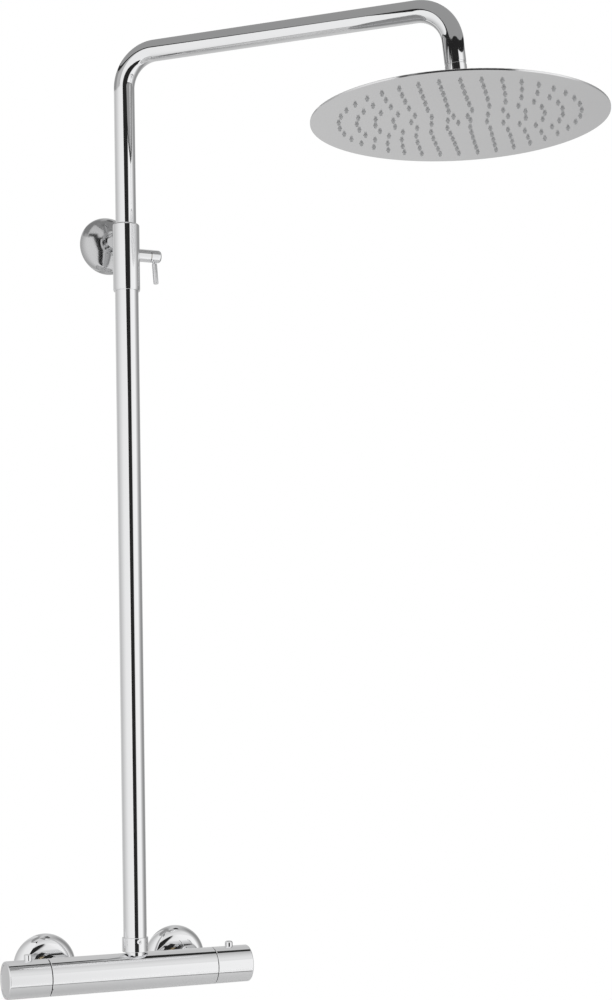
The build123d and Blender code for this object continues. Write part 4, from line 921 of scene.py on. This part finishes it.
def arm_ring(radius):
    """Tube wall p(u, t) = c(u) + R (cos t m(u) + sin t b), where m is square to the path in the arm's plane
    and b is level."""
    middle = np.outer(out, arm_way)
    middle += np.array((RISER_X, -AXIS_OUT, 0.0))
    middle[:, 2] += level
    outward = np.outer(np.sin(slope), arm_way)
    outward[:, 2] -= np.cos(slope)
    t = np.arange(TUBE_STEPS) * 2.0 * np.pi / TUBE_STEPS
    spokes = np.cos(t)[None, :, None] * outward[:, None] + np.sin(t)[None, :, None] * arm_side
    return middle[:, None] + radius * spokes, spokes


outer_wall, outer_spokes = arm_ring(UPPER_TUBE_R)
inner_wall, inner_spokes = arm_ring(UPPER_TUBE_BORE_R)
wall_points = np.concatenate((outer_wall, inner_wall[::-1]))
wall_normals = np.concatenate((outer_spokes, -inner_spokes[::-1]))
rings, around = np.meshgrid(np.arange(len(wall_points)), np.arange(TUBE_STEPS), indexing="ij")
numbers = rings * TUBE_STEPS + around
onward = np.roll(numbers, -1, 0)
tube_quads = np.stack(
    (numbers, np.roll(numbers, -1, 1), np.roll(onward, -1, 1), onward), -1
).reshape(-1, 4)
arm_tube = (wall_points.reshape(-1, 3), tube_quads, wall_normals.reshape(-1, 3))
add_piece("bent_arm_tube", [arm_tube], chrome, "arm", ["upper_arm_tube"], crease=40.0)
dress(chrome, "spout_insert")

# Ball joint: a chromed brass connector, screwed onto the spout, with a ball on its neck. An acetal seat and a
# ring nut hold the ball in the head's boss.
dress(chrome, "ball_connector", "ball_retaining_nut")
dress(rubber, "connector_washer")
dress(acetal, "ball_seat_ring")

# Rain head: two thin sheets of stainless steel, welded at the rim and buffed in rings, with the ball joint's
# boss welded on top.
BALL = np.array((269.498, -327.498, MIXER_Z + 895.15))
HEAD_LEAN = np.radians(1.09)
FACE_BELOW_BALL = 27.0

# Level with the head's face, and along its axis
head_right = np.array((np.cos(HEAD_LEAN), 0.0, np.sin(HEAD_LEAN)))
head_back = np.array((0.0, 1.0, 0.0))
head_up = np.array((-np.sin(HEAD_LEAN), 0.0, np.cos(HEAD_LEAN)))


def on_head(places):
    """Points given as (right, back, up) from the ball's middle: p = ball + x right + y back + z up."""
    return BALL + places @ np.stack((head_right, head_back, head_up))


stainless, tree, shader, place = new_finish("polished_stainless")
shader.inputs["Metallic"].default_value = 1.0
sheet_colour = mottled(
    tree, place, scale=9.0, detail=2.0, low=(0.80, 0.80, 0.805), high=(0.84, 0.84, 0.845)
)
tree.links.new(sheet_colour, shader.inputs["Base Color"])
face_middle = BALL - FACE_BELOW_BALL * head_up
from_axis = wire(
    tree, "ShaderNodeMapping", Vector=place, Location=(*(-face_middle[:2] * MM), 0.0), Scale=(1.0, 1.0, 0.0)
).outputs[0]
from_middle = wire(
    tree, "ShaderNodeVectorMath", [("operation", "LENGTH")], i0=from_axis
).outputs["Value"]
buffing = wire(
    tree, "ShaderNodeTexNoise", [("noise_dimensions", "1D")], W=from_middle, Scale=900.0, Detail=5.0
)
tree.links.new(between(tree, buffing.outputs[0], 0.12, 0.2), shader.inputs["Roughness"])
buffed = wire(tree, "ShaderNodeBump", Strength=0.02, Distance=0.0001, Height=buffing.outputs[0])
tree.links.new(buffed.outputs[0], shader.inputs["Normal"])
dress(stainless, "head_top_shell", "head_face_plate", "head_boss")

# Nozzle mat: one moulding of grey silicone behind the face plate, with 143 soft nozzles that stand out
# through the plate's holes and rub clean of scale.
NOZZLE_COUNTS = (5, 8, 14, 20, 26, 32, 38)
NOZZLE_FIRST_RING_R = 12.0
NOZZLE_RING_PITCH = 18.2
NOZZLE_HEADING = np.radians(-5.0)
MAT_R = 127.0

silicone, tree, shader, place = new_finish("grey_silicone")
silicone_colour = mottled(
    tree, place, scale=700.0, detail=3.0, low=(0.50, 0.505, 0.51), high=(0.58, 0.585, 0.59)
)
tree.links.new(silicone_colour, shader.inputs["Base Color"])
shader.inputs["Subsurface Weight"].default_value = 0.15
shader.inputs["Subsurface Radius"].default_value = (0.001, 0.001, 0.001)
bloom = wire(tree, "ShaderNodeTexNoise", Vector=place, Scale=2200.0, Detail=3.0)
tree.links.new(between(tree, bloom.outputs[0], 0.38, 0.55), shader.inputs["Roughness"])

counts = np.array(NOZZLE_COUNTS)
ring_of = np.repeat(np.arange(len(counts)), counts)
step_in_ring = np.arange(counts.sum()) - np.repeat(np.cumsum(counts) - counts, counts)
ring_r = NOZZLE_FIRST_RING_R + NOZZLE_RING_PITCH * ring_of
ring_angle = NOZZLE_HEADING + 2.0 * np.pi * step_in_ring / counts[ring_of]
nozzle_places = np.column_stack(
    (ring_r * np.cos(ring_angle), ring_r * np.sin(ring_angle), np.zeros(len(ring_r)))
)

# Listed anticlockwise in (radius, height above the ball): water hole, lip, tip and root
NOZZLE_OUTLINE = [
    (0.0, -28.0), (0.5, -28.0), (0.55, -29.65), (0.8, -29.8), (1.3, -29.7), (1.6, -28.4), (2.2, -25.8),
    (0.0, -25.8),
]
MAT_OUTLINE = [(0.0, -26.0), (MAT_R, -26.0, 0.2), (MAT_R, -25.0, 0.2), (0.0, -25.0)]
nozzle_points, nozzle_quads, nozzle_normals = turned(
    (0.0, 0.0, 0.0), (0.0, 0.0, 1.0), NOZZLE_OUTLINE, steps=12
)
mat_surfaces = [
    (
        on_head((nozzle_places[:, None] + nozzle_points).reshape(-1, 3)),
        (np.arange(len(nozzle_places))[:, None, None] * len(nozzle_points) + nozzle_quads).reshape(-1, 4),
        np.tile(nozzle_normals, (len(nozzle_places), 1)),
    ),
    turned(BALL, head_up, MAT_OUTLINE, steps=96),
]
add_piece("nozzle_moulding", mat_surfaces, silicone, "head", ["nozzle_mat"], crease=50.0)
